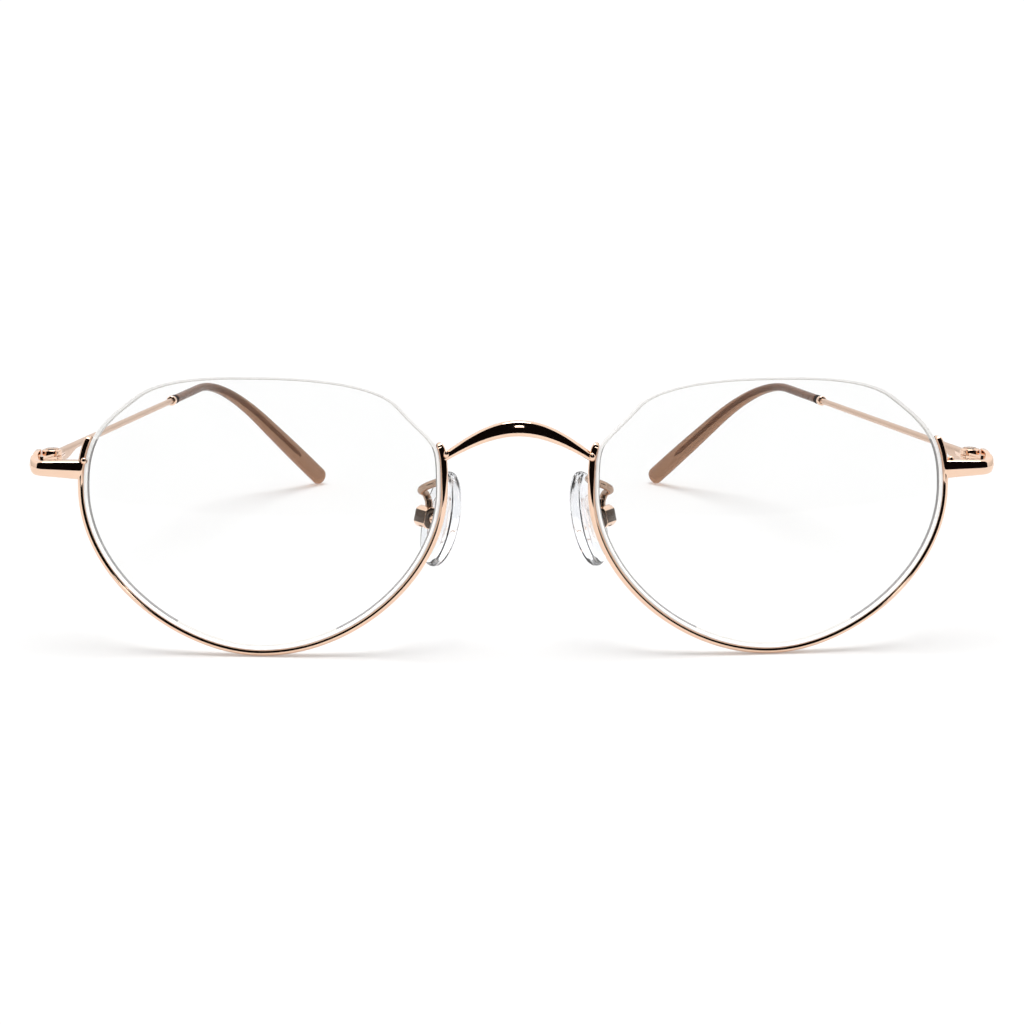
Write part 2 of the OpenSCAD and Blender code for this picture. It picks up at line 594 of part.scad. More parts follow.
module pad_arm(steps = 30) color(rose_gold) difference() {
    wire([for (i = [0 : steps]) through(arm_path, i / steps)], arm_d, 8);
    nose_side_blank();
    at_pad() box_block();
}

// ---------- the glasses ----------

front_y = bridge_end[1] - bridge_bow - bridge_d / 2;
back_y = tip_end[1] + 0.5;
module left() translate([0, -(front_y + back_y) / 2, 0]) children();
module right() mirror([1, 0, 0]) left() children();

left() rim();  // rim_left
right() rim();  // rim_right
left() rim_liner();  // rim_liner_left
right() rim_liner();  // rim_liner_right
left() lens();  // lens_left
right() lens();  // lens_right
left() nylon_cord();  // nylon_cord_left
right() nylon_cord();  // nylon_cord_right
left() bridge();
left() end_piece();  // end_piece_left
right() end_piece();  // end_piece_right
left() front_hinge();  // front_hinge_left
right() front_hinge();  // front_hinge_right
left() hinge_screw();  // hinge_screw_left
right() hinge_screw();  // hinge_screw_right
left() pad_arm();  // pad_arm_left
right() pad_arm();  // pad_arm_right
left() pad_box();  // pad_box_left
right() pad_box();  // pad_box_right
left() pad_screw();  // pad_screw_left
right() pad_screw();  // pad_screw_right
left() pad_insert();  // pad_insert_left
right() pad_insert();  // pad_insert_right
left() nose_pad();  // nose_pad_left
right() nose_pad();  // nose_pad_right
left() temple_hinge();  // temple_hinge_left
right() temple_hinge();  // temple_hinge_right
left() temple();  // temple_left
right() temple();  // temple_right
left() tip_collar();  // tip_collar_left
right() tip_collar();  // tip_collar_right
left() tip_ring();  // tip_ring_left
right() tip_ring();  // tip_ring_right
left() temple_tip();  // temple_tip_left
right() temple_tip();  // temple_tip_right
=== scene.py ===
# %% [markdown]
# Half-rim glasses in rose gold. The solids come from the packed model and set every size and
# place. This script gives them smooth skins, real finishes, a camera and a white studio.
# Sizes are worked out in millimetres and turned into metres when a mesh is made.

# %% Load the solids
import json
import math
import bmesh
import bpy
from mathutils import Matrix, Vector
from mathutils.bvhtree import BVHTree

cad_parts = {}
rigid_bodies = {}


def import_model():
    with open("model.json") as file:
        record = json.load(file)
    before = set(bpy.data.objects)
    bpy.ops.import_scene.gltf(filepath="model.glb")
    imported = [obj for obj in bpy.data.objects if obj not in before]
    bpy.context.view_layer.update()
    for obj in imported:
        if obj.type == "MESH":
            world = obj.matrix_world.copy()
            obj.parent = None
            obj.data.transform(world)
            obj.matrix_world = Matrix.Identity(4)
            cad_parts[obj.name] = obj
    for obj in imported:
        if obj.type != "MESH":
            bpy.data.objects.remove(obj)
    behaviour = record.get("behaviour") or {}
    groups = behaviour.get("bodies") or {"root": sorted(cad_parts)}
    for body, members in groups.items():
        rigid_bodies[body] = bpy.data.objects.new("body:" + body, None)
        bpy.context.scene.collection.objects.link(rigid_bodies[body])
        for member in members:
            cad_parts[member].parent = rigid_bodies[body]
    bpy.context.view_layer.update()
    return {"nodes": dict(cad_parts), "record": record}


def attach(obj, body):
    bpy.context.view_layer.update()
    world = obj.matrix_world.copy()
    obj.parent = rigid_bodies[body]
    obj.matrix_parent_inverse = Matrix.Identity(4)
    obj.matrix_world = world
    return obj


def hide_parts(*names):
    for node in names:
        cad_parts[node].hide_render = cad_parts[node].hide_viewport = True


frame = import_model()
nodes = frame["nodes"]
MM = 0.001

# %% [markdown]
# These image points were read off the photograph. A camera could be lined up by eye, but points can be
# measured again after each change. L is the viewer's left and R the right. The photograph's two sides
# differ a little and the part is symmetric, so four points were moved by a few pixels since, to where the
# part shows: rim_temporal_R, prong_temple_L, collar_R and tip_end_L. The first ones set the camera, the
# joints take the drops of solder, and at the end the script finds where each thing shows near its point.

# %% Image points
W = H = 1024
image_points = {
    "outermost_L": (31.9, 459.9), "outermost_R": (992.1, 456.5),
    "lens_top": (268.0, 376.5), "rim_bottom_L": (268.0, 656.5), "rim_bottom_R": (764.0, 657.5),
    "rim_temporal_L": (80.0, 486.0), "rim_temporal_R": (948.1, 488.5),
    "prong_nose_L": (436.7, 444.0), "prong_nose_R": (602.4, 445.2),
    "prong_temple_L": (92.7, 436.9), "prong_temple_R": (934.9, 433.6),
    "bridge_top": (519.3, 420.6), "bridge_joint_L": (446.5, 454.0), "bridge_joint_R": (592.5, 457.0),
    "lug_joint_L": (84.0, 461.0), "lug_joint_R": (951.0, 459.5),
    "collar_L": (173.0, 398.3), "collar_R": (821.0, 400.7),
    "tip_end_L": (324.3, 479.7), "tip_end_R": (657.0, 480.5)}
print("image points", len(image_points))

# %% [markdown]
# The photograph was taken close up, from a little above and slightly to the wearer's right.
# A constraint could aim the camera at the bridge. Plain numbers, found by fitting the points
# above, are used instead, because they fix the roll and the closeness as well.

# %% Camera
front_plane = -69.0754         # the lenses' middles, along Y
camera_spot = Vector((-12.875, front_plane - 279.704, 75.4)) * MM
pitch, yaw, roll = 0.192, 0.043, 0.006
pixels_per_unit = 2036.0
UP = Vector((0, 0, 1))
forward = Vector((math.sin(yaw) * math.cos(pitch), math.cos(yaw) * math.cos(pitch), -math.sin(pitch)))
level = forward.cross(UP).normalized()
above = level.cross(forward)
right_way = level * math.cos(roll) + above * math.sin(roll)
up_way = above * math.cos(roll) - level * math.sin(roll)
camera_data = bpy.data.cameras.new("camera")
camera_data.sensor_fit = "AUTO"
camera_data.sensor_width = 36.0
camera_data.lens = pixels_per_unit / max(W, H) * camera_data.sensor_width
camera_data.clip_start, camera_data.clip_end = 0.01, 20.0
camera = bpy.data.objects.new("camera", camera_data)
bpy.context.scene.collection.objects.link(camera)
camera.matrix_world = Matrix((
    (right_way.x, up_way.x, -forward.x, camera_spot.x),
    (right_way.y, up_way.y, -forward.y, camera_spot.y),
    (right_way.z, up_way.z, -forward.z, camera_spot.z),
    (0, 0, 0, 1)))
bpy.context.scene.camera = camera
print("lens", round(camera_data.lens, 2))

# %% [markdown]
# Shader maths could be wired node by node, but it reads best as Python. Value wraps an output
# socket and gives it the operators, so 1 - mask adds the Math node that it says.

# %% A class for sockets
class Value:
    """A number that changes over a surface."""
    def __init__(self, finish, socket):
        self.finish, self.socket = finish, socket

    def _math(self, operation, *values):
        return self.finish.add("ShaderNodeMath", {"operation": operation}, dict(enumerate(values)))

    def __add__(self, other): return self._math("ADD", self, other)
    def __sub__(self, other): return self._math("SUBTRACT", self, other)
    def __mul__(self, other): return self._math("MULTIPLY", self, other)
    def __rsub__(self, other): return self._math("SUBTRACT", other, self)
    def at_least(self, other): return self._math("MAXIMUM", self, other)
    def at_most(self, other): return self._math("MINIMUM", self, other)
    __radd__ = __add__
    __rmul__ = __mul__


print("Value:", Value.__doc__)

# %% [markdown]
# Finish makes a material, or the world, and any node in it, so that no finish below needs a
# list of nodes and links. add() takes a node's type, its settings, and the values or links of
# its sockets. The other methods are what most finishes share: noise, a mix and a bump.

# %% A class for materials
class Finish:
    """A node tree, of a material or of the world."""
    def __init__(self, owner):
        self.owner = owner
        owner.use_nodes = True
        self.tree = owner.node_tree
        self.tree.nodes.clear()

    def add(self, kind, settings=None, inputs=None, output=0):
        made = self.tree.nodes.new(kind)
        for name, value in (settings or {}).items():
            setattr(made, name, value)
        for name, value in (inputs or {}).items():
            if isinstance(value, Value):
                self.tree.links.new(value.socket, made.inputs[name])
            else:
                made.inputs[name].default_value = value
        return Value(self, made.outputs[output])

    def noise(self, scale, detail=2.0, stretch=(1, 1, 1)):
        place = self.add("ShaderNodeTexCoord", output="Object")
        place = self.add("ShaderNodeMapping", inputs={"Vector": place, "Scale": stretch})
        return self.add("ShaderNodeTexNoise", inputs={"Vector": place, "Scale": scale, "Detail": detail})

    def between(self, share, first, second):
        return self.add("ShaderNodeMix", {"data_type": "RGBA"},
                        {"Factor": share, 6: first, 7: second}, output=2)

    def bump(self, height, distance, strength=1.0):
        return self.add("ShaderNodeBump", inputs={"Height": height, "Distance": distance,
                                                  "Strength": strength})

    def end(self, shader, kind="ShaderNodeOutputMaterial"):
        output = self.tree.nodes.new(kind)
        self.tree.links.new(shader.socket, output.inputs["Surface"])
        return self.owner


def material(name):
    return Finish(bpy.data.materials.new(name))


def ray_is(finish, kind):
    """1 for that kind of ray: Camera, Glossy, Transmission or Shadow."""
    return finish.add("ShaderNodeLightPath", output=f"Is {kind} Ray")


print("Finish:", Finish.__doc__)

# %% [markdown]
# Polished metal shows its surroundings, so they matter as much as its own colour. A picture
# of a room could surround it, but shades of white by kind of ray are enough here. The world
# is white to the camera and through clear plastic. In reflections it is dimmer near the
# horizon and brightens upwards, as a real room does, and on matt things it is a softer fill.

# %% The white surroundings
WHITE = (1, 1, 1, 1)
backdrop_white, fill, horizon, overhead_white, climb = 1.05, 0.5, 0.68, 1.1, 0.9
world = bpy.data.worlds.new("white_studio")
bpy.context.scene.world = world
studio = Finish(world)
ray_way = studio.add("ShaderNodeTexCoord", output="Generated")
height = studio.add("ShaderNodeSeparateXYZ", inputs={0: ray_way}, output="Z")
white_to = ray_is(studio, "Camera").at_least(ray_is(studio, "Transmission"))
mirrored = (horizon - fill + climb * height.at_least(0)).at_most(overhead_white - fill)
backdrop = studio.add("ShaderNodeBackground", inputs={
    "Color": WHITE,
    "Strength": fill + (backdrop_white - fill) * white_to + ray_is(studio, "Glossy") * mirrored})
studio.end(backdrop, "ShaderNodeOutputWorld")
print("world", world.name)

# %% [markdown]
# The table is white paper. Stronger lamps would make it look white, but they would bleach the
# glasses too. So the paper stays a real one that keeps the soft shadows, and a faint glow of
# its own, which only what looks at it sees, takes the lit paper up to plain white.

# %% White table
def plane(name, corners, finish):
    mesh = bpy.data.meshes.new(name)
    mesh.from_pydata(corners, [], [(0, 1, 2, 3)])
    mesh.materials.append(finish)
    made = bpy.data.objects.new(name, mesh)
    bpy.context.scene.collection.objects.link(made)
    return made


paper_glow, table_reach, table_gap = 0.2, 3, 0.03
paper = material("white_paper")
seen_directly = ray_is(paper, "Camera").at_least(ray_is(paper, "Glossy")).at_least(
    ray_is(paper, "Transmission"))
sheet = paper.add("ShaderNodeBsdfPrincipled", inputs={
    "Base Color": paper.between(paper.noise(900, 3), (0.80, 0.80, 0.80, 1), (0.84, 0.84, 0.84, 1)),
    "Roughness": 0.9, "Specular IOR Level": 0.0})
glow = paper.add("ShaderNodeEmission", inputs={
    "Color": WHITE, "Strength": paper_glow * seen_directly})
paper_finish = paper.end(paper.add("ShaderNodeAddShader", inputs={0: sheet, 1: glow}))
floor = plane("floor", [(x * table_reach, y * table_reach, 0)
                        for x, y in ((-1, -1), (1, -1), (1, 1), (-1, 1))], paper_finish)
floor.location.z = -table_gap * MM
print("table", 2 * table_reach, "m square")

# %% [markdown]
# A black card stands between the glasses and the camera, as photographers do with jewellery,
# and draws the black lines that give polished metal its shape. Only mirrored rays see it, so
# it hides nothing from the camera and isn't seen through the lenses. A small bright window in
# front of the card gives the bridge the one highlight that it has in the photograph.

# %% Black card and bright window
card_y, card_reach, card_top = (front_plane - 105) * MM, 320, 500
window_light = 4.0


def upright(name, y, left, right, low, high, finish):
    """A plane that faces the glasses. Its sides are in millimetres, and y is in metres."""
    corners = ((left, low), (right, low), (right, high), (left, high))
    return plane(name, [(x * MM, y, z * MM) for x, z in corners], finish)


window = material("lamp_window")
window_finish = window.end(window.add("ShaderNodeEmission", inputs={
    "Color": WHITE, "Strength": window_light}))
lamp_window = upright("lamp_window", card_y + MM, left=-4, right=16, low=75, high=96,
                      finish=window_finish)
felt = material("black_felt")
felt_finish = felt.end(felt.add("ShaderNodeMixShader", inputs={
    0: felt.add("ShaderNodeLightPath", output="Glossy Depth").at_most(1),
    1: felt.add("ShaderNodeBsdfTransparent"),
    2: felt.add("ShaderNodeEmission", inputs={"Color": (0.004, 0.003, 0.003, 1)})}))
card = upright("black_card", card_y, -card_reach, card_reach, 0, card_top, felt_finish)
for ray in ("camera", "diffuse", "volume_scatter", "shadow"):
    setattr(card, "visible_" + ray, False)
    setattr(lamp_window, "visible_" + ray, False)
lamp_window.visible_transmission = False
print("card", 2 * card_reach, "x", card_top, "mm")

# %% [markdown]
# The lamp overhead is a sun with a wide disc. An area lamp would also give soft shadows, but
# its light falls off with distance and this doesn't. The shadows lie straight under the
# glasses, dark where metal touches the table, and they blur with height until they fade.

# %% Lamp
overhead = bpy.data.lights.new("overhead", "SUN")
overhead.energy, overhead.angle = 1.7, math.radians(36)
overhead_lamp = bpy.data.objects.new("overhead", overhead)
overhead_lamp.rotation_euler = (math.radians(6), 0, 0)
bpy.context.scene.collection.objects.link(overhead_lamp)
bpy.context.scene.view_settings.view_transform = "Standard"
print("lamp", overhead.name, round(overhead.energy, 2))

# %% [markdown]
# Rose gold plating is almost a mirror. One colour with no roughness would look too clean, so the colour
# drifts a little over the surface, and faint buffing marks, fine and lengthwise, blur and bend what it
# mirrors. shine paints the metal darker, as painted shade, for pieces that stand in the shade.

# %% Metal
GOLD, PALE_GOLD = (0.87, 0.60, 0.44), (0.91, 0.67, 0.52)


def rose_gold(name, roughness, shine=1.0):
    made = material(name)
    marks = made.noise(2600, 3, (1, 0.25, 1))
    cloud = made.noise(160, 2)
    deep, pale = ([c * shine for c in colour] + [1] for colour in (GOLD, PALE_GOLD))
    body = made.add("ShaderNodeBsdfPrincipled", inputs={
        "Base Color": made.between(cloud, deep, pale), "Metallic": 1.0,
        "Roughness": roughness + 0.05 * marks, "Normal": made.bump(marks, 0.002 * MM, 0.3)})
    return made.end(body)


print("gold", GOLD, "to", PALE_GOLD)

# %% [markdown]
# Lens, cord, pads, inserts and tips are clear. A plain glass shader throws a black shadow,
# because lamp rays stop at it, so those rays get a see-through shader instead. Caustics could
# do it properly, but they cost minutes. shade is the colour of that shadow, where it isn't
# the plastic's own.

# %% Clear plastics
def clear(name, colour, roughness, ior, wave, transmission=1.0, shade=None, sheen=0.0):
    made = material(name)
    wavy = made.noise(wave, 2)
    other = tuple(0.96 * c for c in colour[:3]) + (1,)
    body = made.add("ShaderNodeBsdfPrincipled", inputs={
        "Base Color": made.between(wavy, colour, other), "Roughness": roughness + 0.02 * wavy,
        "IOR": ior, "Transmission Weight": transmission, "Sheen Weight": sheen})
    through = made.add("ShaderNodeBsdfTransparent", inputs={"Color": shade or colour})
    return made.end(made.add("ShaderNodeMixShader", inputs={
        0: ray_is(made, "Shadow"), 1: body, 2: through}))


lens_plastic = clear("lens_plastic", (0.99, 0.992, 0.99, 1), 0.0, 1.25, 60)
print("clear finish", lens_plastic.name)

# %% [markdown]
# The liner is matt and lets some light by, the lens's edge is ground, and the dark ring and
# the wire inside the tip are plainly opaque. Real scattering inside such thin pieces is slow
# to render, so a share of see-through or a faint glow stands in for it.

# %% Matt plastics
def frosted(name, colour, other, cover):
    """Matt plastic, and cover is the share of it that isn't see-through."""
    made = material(name)
    grain = made.noise(1800, 3)
    body = made.add("ShaderNodeBsdfPrincipled", inputs={
        "Base Color": made.between(grain, colour, other), "Roughness": 0.45 + 0.2 * grain, "IOR": 1.3})
    through = made.add("ShaderNodeBsdfTransparent")
    share = (cover - 0.1 + 0.2 * grain).at_most(1)
    return made.end(made.add("ShaderNodeMixShader", inputs={0: share, 1: through, 2: body}))


def ground(name, colour, other, glow):
    """A ground edge, with a painted glow that stands in for the light it scatters from inside the plastic.
    """
    made = material(name)
    grain = made.between(made.noise(1500, 3), colour, other)
    return made.end(made.add("ShaderNodeBsdfPrincipled", inputs={
        "Base Color": grain, "Roughness": 0.6, "IOR": 1.3,
        "Emission Color": grain, "Emission Strength": glow}))


def plastic(name, colour, other, roughness, scale, shine=0.5):
    made = material(name)
    cloud = made.noise(scale, 3)
    body = made.add("ShaderNodeBsdfPrincipled", inputs={
        "Base Color": made.between(cloud, colour, other), "Roughness": roughness + 0.08 * cloud,
        "Specular IOR Level": shine, "Normal": made.bump(cloud, 0.004 * MM, 0.3)})
    return made.end(body)


dark_ring = plastic("dark_ring", (0.012, 0.008, 0.007, 1), (0.03, 0.02, 0.018, 1), 0.5, 1500, 0.05)
print("opaque finish", dark_ring.name)

# %% [markdown]
# The record names a material slot for each solid, and each slot gets one finish here. The
# insert sits inside the silicone, so its index is what is left of the difference between
# them. The tips are brown acetate, clear enough to show the wire that runs inside, with a
# little sheen for their soft bloom. The dark ring mirrors almost nothing.

# %% Finishes by slot
finishes = {
    "rose_gold": rose_gold("rose_gold", 0.03),
    "screw": rose_gold("screw", 0.10),
    "lens": lens_plastic,
    "nylon": clear("clear_nylon", (0.98, 0.98, 0.98, 1), 0.05, 1.5, 900),
    "liner": frosted("liner_nylon", (0.96, 0.96, 0.95, 1), (0.90, 0.90, 0.89, 1), 0.95),
    "silicone": clear("clear_silicone", (0.92, 0.935, 0.965, 1), 0.04, 1.5, 500),
    "insert": clear("insert_plastic", (0.97, 0.91, 0.87, 1), 0.1, 1.15, 600),
    "tip_plastic": clear("tip_acetate", (0.39, 0.225, 0.145, 1), 0.08, 1.15, 400,
                         transmission=0.75, shade=(0.4, 0.3, 0.25, 1), sheen=0.1),
    "dark_ring": dark_ring}
slots = {part["node"]: part["material_slot"] for part in frame["record"]["subparts"]}
for name, solid in nodes.items():
    solid.data.materials.clear()
    solid.data.materials.append(finishes[slots[name]])
print("finishes", len(finishes))

# %% [markdown]
# The rim, liner, cord and lens all follow the lens's outline. It could be traced with many
# points, but six Bezier curves stay smooth and can be set one knot at a time. A knot gives
# its place, as shares of half the lens's width and height, its heading in degrees, and how
# far the curves before and after it pull along that heading.

# %% The lens's outline
lens_w, lens_h = 50.0, 39.0
knots = [(1, 0.15, 90, 0.37, 0.49), (0.69, 0.85, 143, 0.4, 0.3), (0, 1, 180, 0.22, 0.23),
         (-0.77, 0.79, 228, 0.26, 0.6), (-1, 0.17, 270, 0.59, 0.33), (0.02, -1, 0, 0.39, 0.33)]


def knot_curve(i):
    (ax, az, a_way, _, pull), (bx, bz, b_way, back, _) = knots[i % 6], knots[(i + 1) % 6]
    a = Vector((ax * lens_w / 2, az * lens_h / 2))
    b = Vector((bx * lens_w / 2, bz * lens_h / 2))
    step = (b - a).length
    leave, arrive = (Vector((math.cos(math.radians(way)), math.sin(math.radians(way))))
                     for way in (a_way, b_way))
    return a, a + leave * step * pull, b - arrive * step * back, b


def edge(s):
    """The edge at s, a knot's number and the share of the way on, and its outward normal."""
    i = math.floor(s)
    a, b, c, d = knot_curve(i)
    t = s - i
    point = a * (1 - t) ** 3 + b * 3 * t * (1 - t) ** 2 + c * 3 * t * t * (1 - t) + d * t ** 3
    way = ((b - a) * (1 - t) ** 2 + (c - b) * 2 * t * (1 - t) + (d - c) * t * t).normalized()
    return point, Vector((way.y, -way.x))


def edge_mm(s):
    """How far s goes in one millimetre of edge."""
    return 0.02 / (edge(s + 0.01)[0] - edge(s - 0.01)[0]).length


print("outline", len(knots), "knots")

# %% [markdown]
# Each lens is a shallow dome that turns back a little at the temple. beside() gives a point
# outside or inside the lens's edge, in front of or behind its middle, so the rim, liner, cord
# and bevel are each a small section carried along that edge. No neat formula says where the
# edge has a given height, so edge_at() halves a stretch of it over and over to find out.

# %% The lens's dome and the ends of rim and cord
lens_t, lens_curve = 2.0, 120.0
lens_x, lens_z = 36.0, 20.5
wrap = math.radians(4)


def edge_at(height, a, b):
    """The s between a and b where the edge is that high above the lens's middle."""
    for _ in range(40):
        m = (a + b) / 2
        if (edge(m)[0].y - height) * (edge(b)[0].y - height) > 0:
            b = m
        else:
            a = m
    return m


def on_lens(p, w):
    """A place at p in front view, on the dome that lies w behind the lens's middle."""
    k = 1 - w / lens_curve
    y = lens_curve - math.sqrt(lens_curve ** 2 - p.length_squared) * k
    return Vector((lens_x + p.x * k * math.cos(wrap) - y * math.sin(wrap),
                   p.x * k * math.sin(wrap) + y * math.cos(wrap) + front_plane, lens_z + p.y * k))


def beside(s, out, back):
    point, normal = edge(s)
    return on_lens(point + normal * out, back)


nose_end_drop, temple_end_drop, cord_tuck = 9.6, 9.2, 3.2
rim_from = edge_at(lens_h / 2 - nose_end_drop, 3, 4)
rim_to = 6 + edge_at(lens_h / 2 - temple_end_drop, 0, 1)
cord_from = rim_to - 6 - cord_tuck * edge_mm(rim_to)
cord_to = rim_from + cord_tuck * edge_mm(rim_from)
print("rim runs from", round(rim_from, 3), "to", round(rim_to, 3))

# %% [markdown]
# Every smooth piece is a skin over rings of points, closed at its ends with fans. A curve
# with a bevel profile is quicker to make, but its section can't change shape along the way.
# These helpers give evenly spaced numbers, a smooth change from 0 to 1, and the skin itself.

# %% Skins
def mix(a, b, t):
    return a + (b - a) * t


def steps(a, b, count):
    return [mix(a, b, i / count) for i in range(count + 1)]


def turns(count):
    """Angles once round."""
    return steps(0, 2 * math.pi, count)[:-1]


def ease(a, b, x):
    t = min(1, max(0, (x - a) / (b - a)))
    return t * t * (3 - 2 * t)


def skin(rings):
    """Points and faces of a closed form over rings of equally many points."""
    n = len(rings[0])
    points = [p for ring in rings for p in ring]
    faces = [(i * n + j, i * n + (j + 1) % n, (i + 1) * n + (j + 1) % n, (i + 1) * n + j)
             for i in range(len(rings) - 1) for j in range(n)]
    for first in (0, (len(rings) - 1) * n):
        points.append(sum((Vector(p) for p in points[first:first + n]), Vector()) / n)
        faces += [(first + j, first + (j + 1) % n, len(points) - 1) for j in range(n)]
    return points, faces


print("steps from 0 to 1:", steps(0, 1, 4))

# %% [markdown]
# Each piece is made for the wearer's left and mirrored in code for the right. A Mirror
# modifier would make both one object, and here each has to move with its own body and stand
# in place of its own solid. Normals are made to point outwards, and edges sharper than a
# limit stay sharp while all others are shaded smooth.

# %% Pieces on their bodies
bodies = {node: body for body, members in frame["record"]["behaviour"]["bodies"].items()
          for node in members}


def settle(name, work, body, slot, replaced, sharp=35):
    """Makes a bmesh an object with smooth faces and outward normals, on its body."""
    bmesh.ops.recalc_face_normals(work, faces=work.faces)
    mesh = bpy.data.meshes.new(name)
    work.to_mesh(mesh)
    work.free()
    mesh.shade_smooth()
    mesh.set_sharp_from_angle(angle=math.radians(sharp))
    mesh.materials.append(finishes[slot])
    made = bpy.data.objects.new(name, mesh)
    bpy.context.scene.collection.objects.link(made)
    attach(made, body)
    if replaced:
        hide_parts(replaced)
    return made


def form(shape, sign=1):
    """A bmesh of points in millimetres, mirrored where sign is -1."""
    points, faces = shape
    mesh = bpy.data.meshes.new("form")
    mesh.from_pydata([Vector((p[0] * sign, p[1], p[2])) * MM for p in points], [], faces)
    work = bmesh.new()
    work.from_mesh(mesh)
    bmesh.ops.remove_doubles(work, verts=work.verts, dist=1e-7)
    return work


def pair(node, shape, sharp=35):
    """A left and a right piece in place of the solids called node_left and node_right."""
    for side, sign in (("left", 1), ("right", -1)):
        solid = f"{node}_{side}"
        settle(f"{node}_skin_{side}", form(shape, sign), bodies[solid], slots[solid], solid, sharp)
    print(node, len(shape[0]), "points each")


# %% [markdown]
# A half rim is a half-round wire with a channel inside it. Its crest faces the viewer and
# mirrors the black card, its round outside mirrors the pale room, and the steep lip inside
# the crest catches light again. That is the order peach, black, cream along the photographed
# rim, so the section is drawn with care. Its two ends stand up past the bridge and the hinge
# as short prongs with rounded tips, where the crest is broader.

# %% Rims
rim_t, rim_d, channel_w, channel_d = 1.0, 1.9, 0.9, 0.5
crest_in, prong_crest_in = 0.3, 0.1
rim_lip = [(0, 0.7), (0.05, 0.742), (0.1, 0.784), (0.15, 0.826), (0.2, 0.867), (0.24, 0.9), (0.27, 0.93)]


def rim_section(size, flat):
    """flat is 1 where the crest is broad, as it is on the prongs."""
    crest, power = mix(crest_in, prong_crest_in, flat), mix(1, 0.36, flat)
    half = [(crest + (rim_t - crest) * math.sin(a) ** power, rim_d / 2 * math.cos(a) ** power)
            for a in steps(0, math.pi / 2, 10)[:-1]]
    front = [(x * crest / crest_in, y) for x, y in rim_lip] + half
    outside = front + [(rim_t, 0)] + [(x, -y) for x, y in reversed(front)]
    inside = [(x, y * channel_w / 2) for x, y in ((0, -1), (channel_d, -1), (channel_d, 1), (0, 1))]
    return [(mix(rim_t / 2, x, size), y * size) for x, y in outside + inside]


def along_rim():
    """Stops along the rim, with its ends rounded: (s, share of full size)."""
    round_mm, smallest = 0.75, 0.12
    shares = [(round_mm * (1 - math.cos(a)), max(smallest, math.sin(a)))
              for a in steps(smallest, math.pi / 2, 7)]
    first = [(rim_from + mm * edge_mm(rim_from), share) for mm, share in shares]
    last = [(rim_to - mm * edge_mm(rim_to), share) for mm, share in reversed(shares)]
    middle = [(s, 1) for s in steps(first[-1][0], last[0][0], 260)[1:-1]]
    return first + middle + last


def flatness(s):
    """1 on the prongs, easing to 0 between 3 and 6 mm from the rim's ends."""
    nose, temple = (s - rim_from) / edge_mm(rim_from), (rim_to - s) / edge_mm(rim_to)
    return 1 - ease(3, 6, min(nose, temple))


pair("rim", skin([[beside(s, out, back) for out, back in rim_section(size, flatness(s))]
                  for s, size in along_rim()]))

# %% [markdown]
# A strip of clear nylon lines the channel and keeps the metal off the lens. It shows only as
# a thin line inside the rim, so a plain six-sided section is enough.

# %% Liner
gap, ridge, cord_room = 0.04, 0.42, 0.4
liner_w, liner_n = channel_w / 2 - gap, channel_d - gap
liner_section = [(liner_n, liner_w), (0, liner_w), (-ridge, liner_w / 2), (-ridge, -liner_w / 2),
                 (0, -liner_w), (liner_n, -liner_w)]
liner_from, liner_to = cord_to + cord_room * edge_mm(rim_from), cord_from + 6 - cord_room * edge_mm(rim_to)
pair("rim_liner", skin([[beside(s, n, w) for n, w in liner_section]
                        for s in steps(liner_from, liner_to, 200)]))

# %% [markdown]
# A lens could be cut from two spheres, but clear plastic shows every uneven facet. So it has
# twelve even rings on each face and 288 points round its edge. The edge has a bevel at front
# and back and the groove for the cord. It is one list of places, out from the edge's line and
# back from the lens's middle, and the back half mirrors the front.

# %% Lenses
lens_around, groove, mouth, groove_floor = 288, 0.6, channel_w / 2, 0.29
face_shares = (0.01, 0.1, 0.2, 0.3, 0.4, 0.5, 0.6, 0.7, 0.8, 0.88, 0.94, 0.975)
lens_half = lens_t / 2
front_edge = [(-0.32, -lens_half), (-0.3, -lens_half), (-0.12, -lens_half + 0.16),
              (-gap, -lens_half + 0.34), (-gap, -mouth), (-0.49, -0.321), (-groove, -groove_floor)]


def lens_shape():
    stops = [i * 6 / lens_around for i in range(lens_around)]
    def face(share, w):
        return [on_lens((edge(s)[0] - edge(s)[1] * gap) * share, w) for s in stops]
    whole_edge = front_edge + [(n, -w) for n, w in reversed(front_edge)]
    rings = [face(share, -lens_half) for share in face_shares]
    rings += [[beside(s, n, w) for s in stops] for n, w in whole_edge]
    return skin(rings + [face(share, lens_half) for share in reversed(face_shares)])


pair("lens", lens_shape(), sharp=28)

# %% [markdown]
# An edging wheel leaves the lens's edge ground matt, so it gets a pale finish of its own, with a faint
# painted glow for the light it scatters. The groove's deep part is painted dark, as painted shade, because
# little light reaches it, and it is painted paler, with a painted glow, where the cord fills it, over the
# top, and on a short stretch at the bottom, as in the photograph.
# Picking faces by their ring and stop is surer than painting a mask.

# %% Ground edges
# Painted light on the lens's edge: the ground edge and the cord line glow faintly, and the groove line is
# painted dark as painted shade.
ground_edge = ground("ground_edge", (0.90, 0.89, 0.875, 1), (0.81, 0.80, 0.79, 1), 0.24)
groove_painted_shade = ground("groove_painted_shade", (0.30, 0.29, 0.29, 1), (0.38, 0.37, 0.37, 1), 0.1)
cord_line = ground("cord_line", (0.58, 0.56, 0.54, 1), (0.66, 0.64, 0.62, 1), 0.25)
bevel_first, groove_first = len(face_shares) + 1, len(face_shares) + 5
bevel_end, groove_end = bevel_first + 11, groove_first + 3
bottom_from, bottom_to = 4.7, 5.35


def edge_finish(band, s):
    """The place in the lens's list of finishes for a band of faces, at s along the edge."""
    if groove_first <= band < groove_end:
        return 3 if rim_to - 6 < s < rim_from or bottom_from < s < bottom_to else 2
    return int(bevel_first <= band < bevel_end)


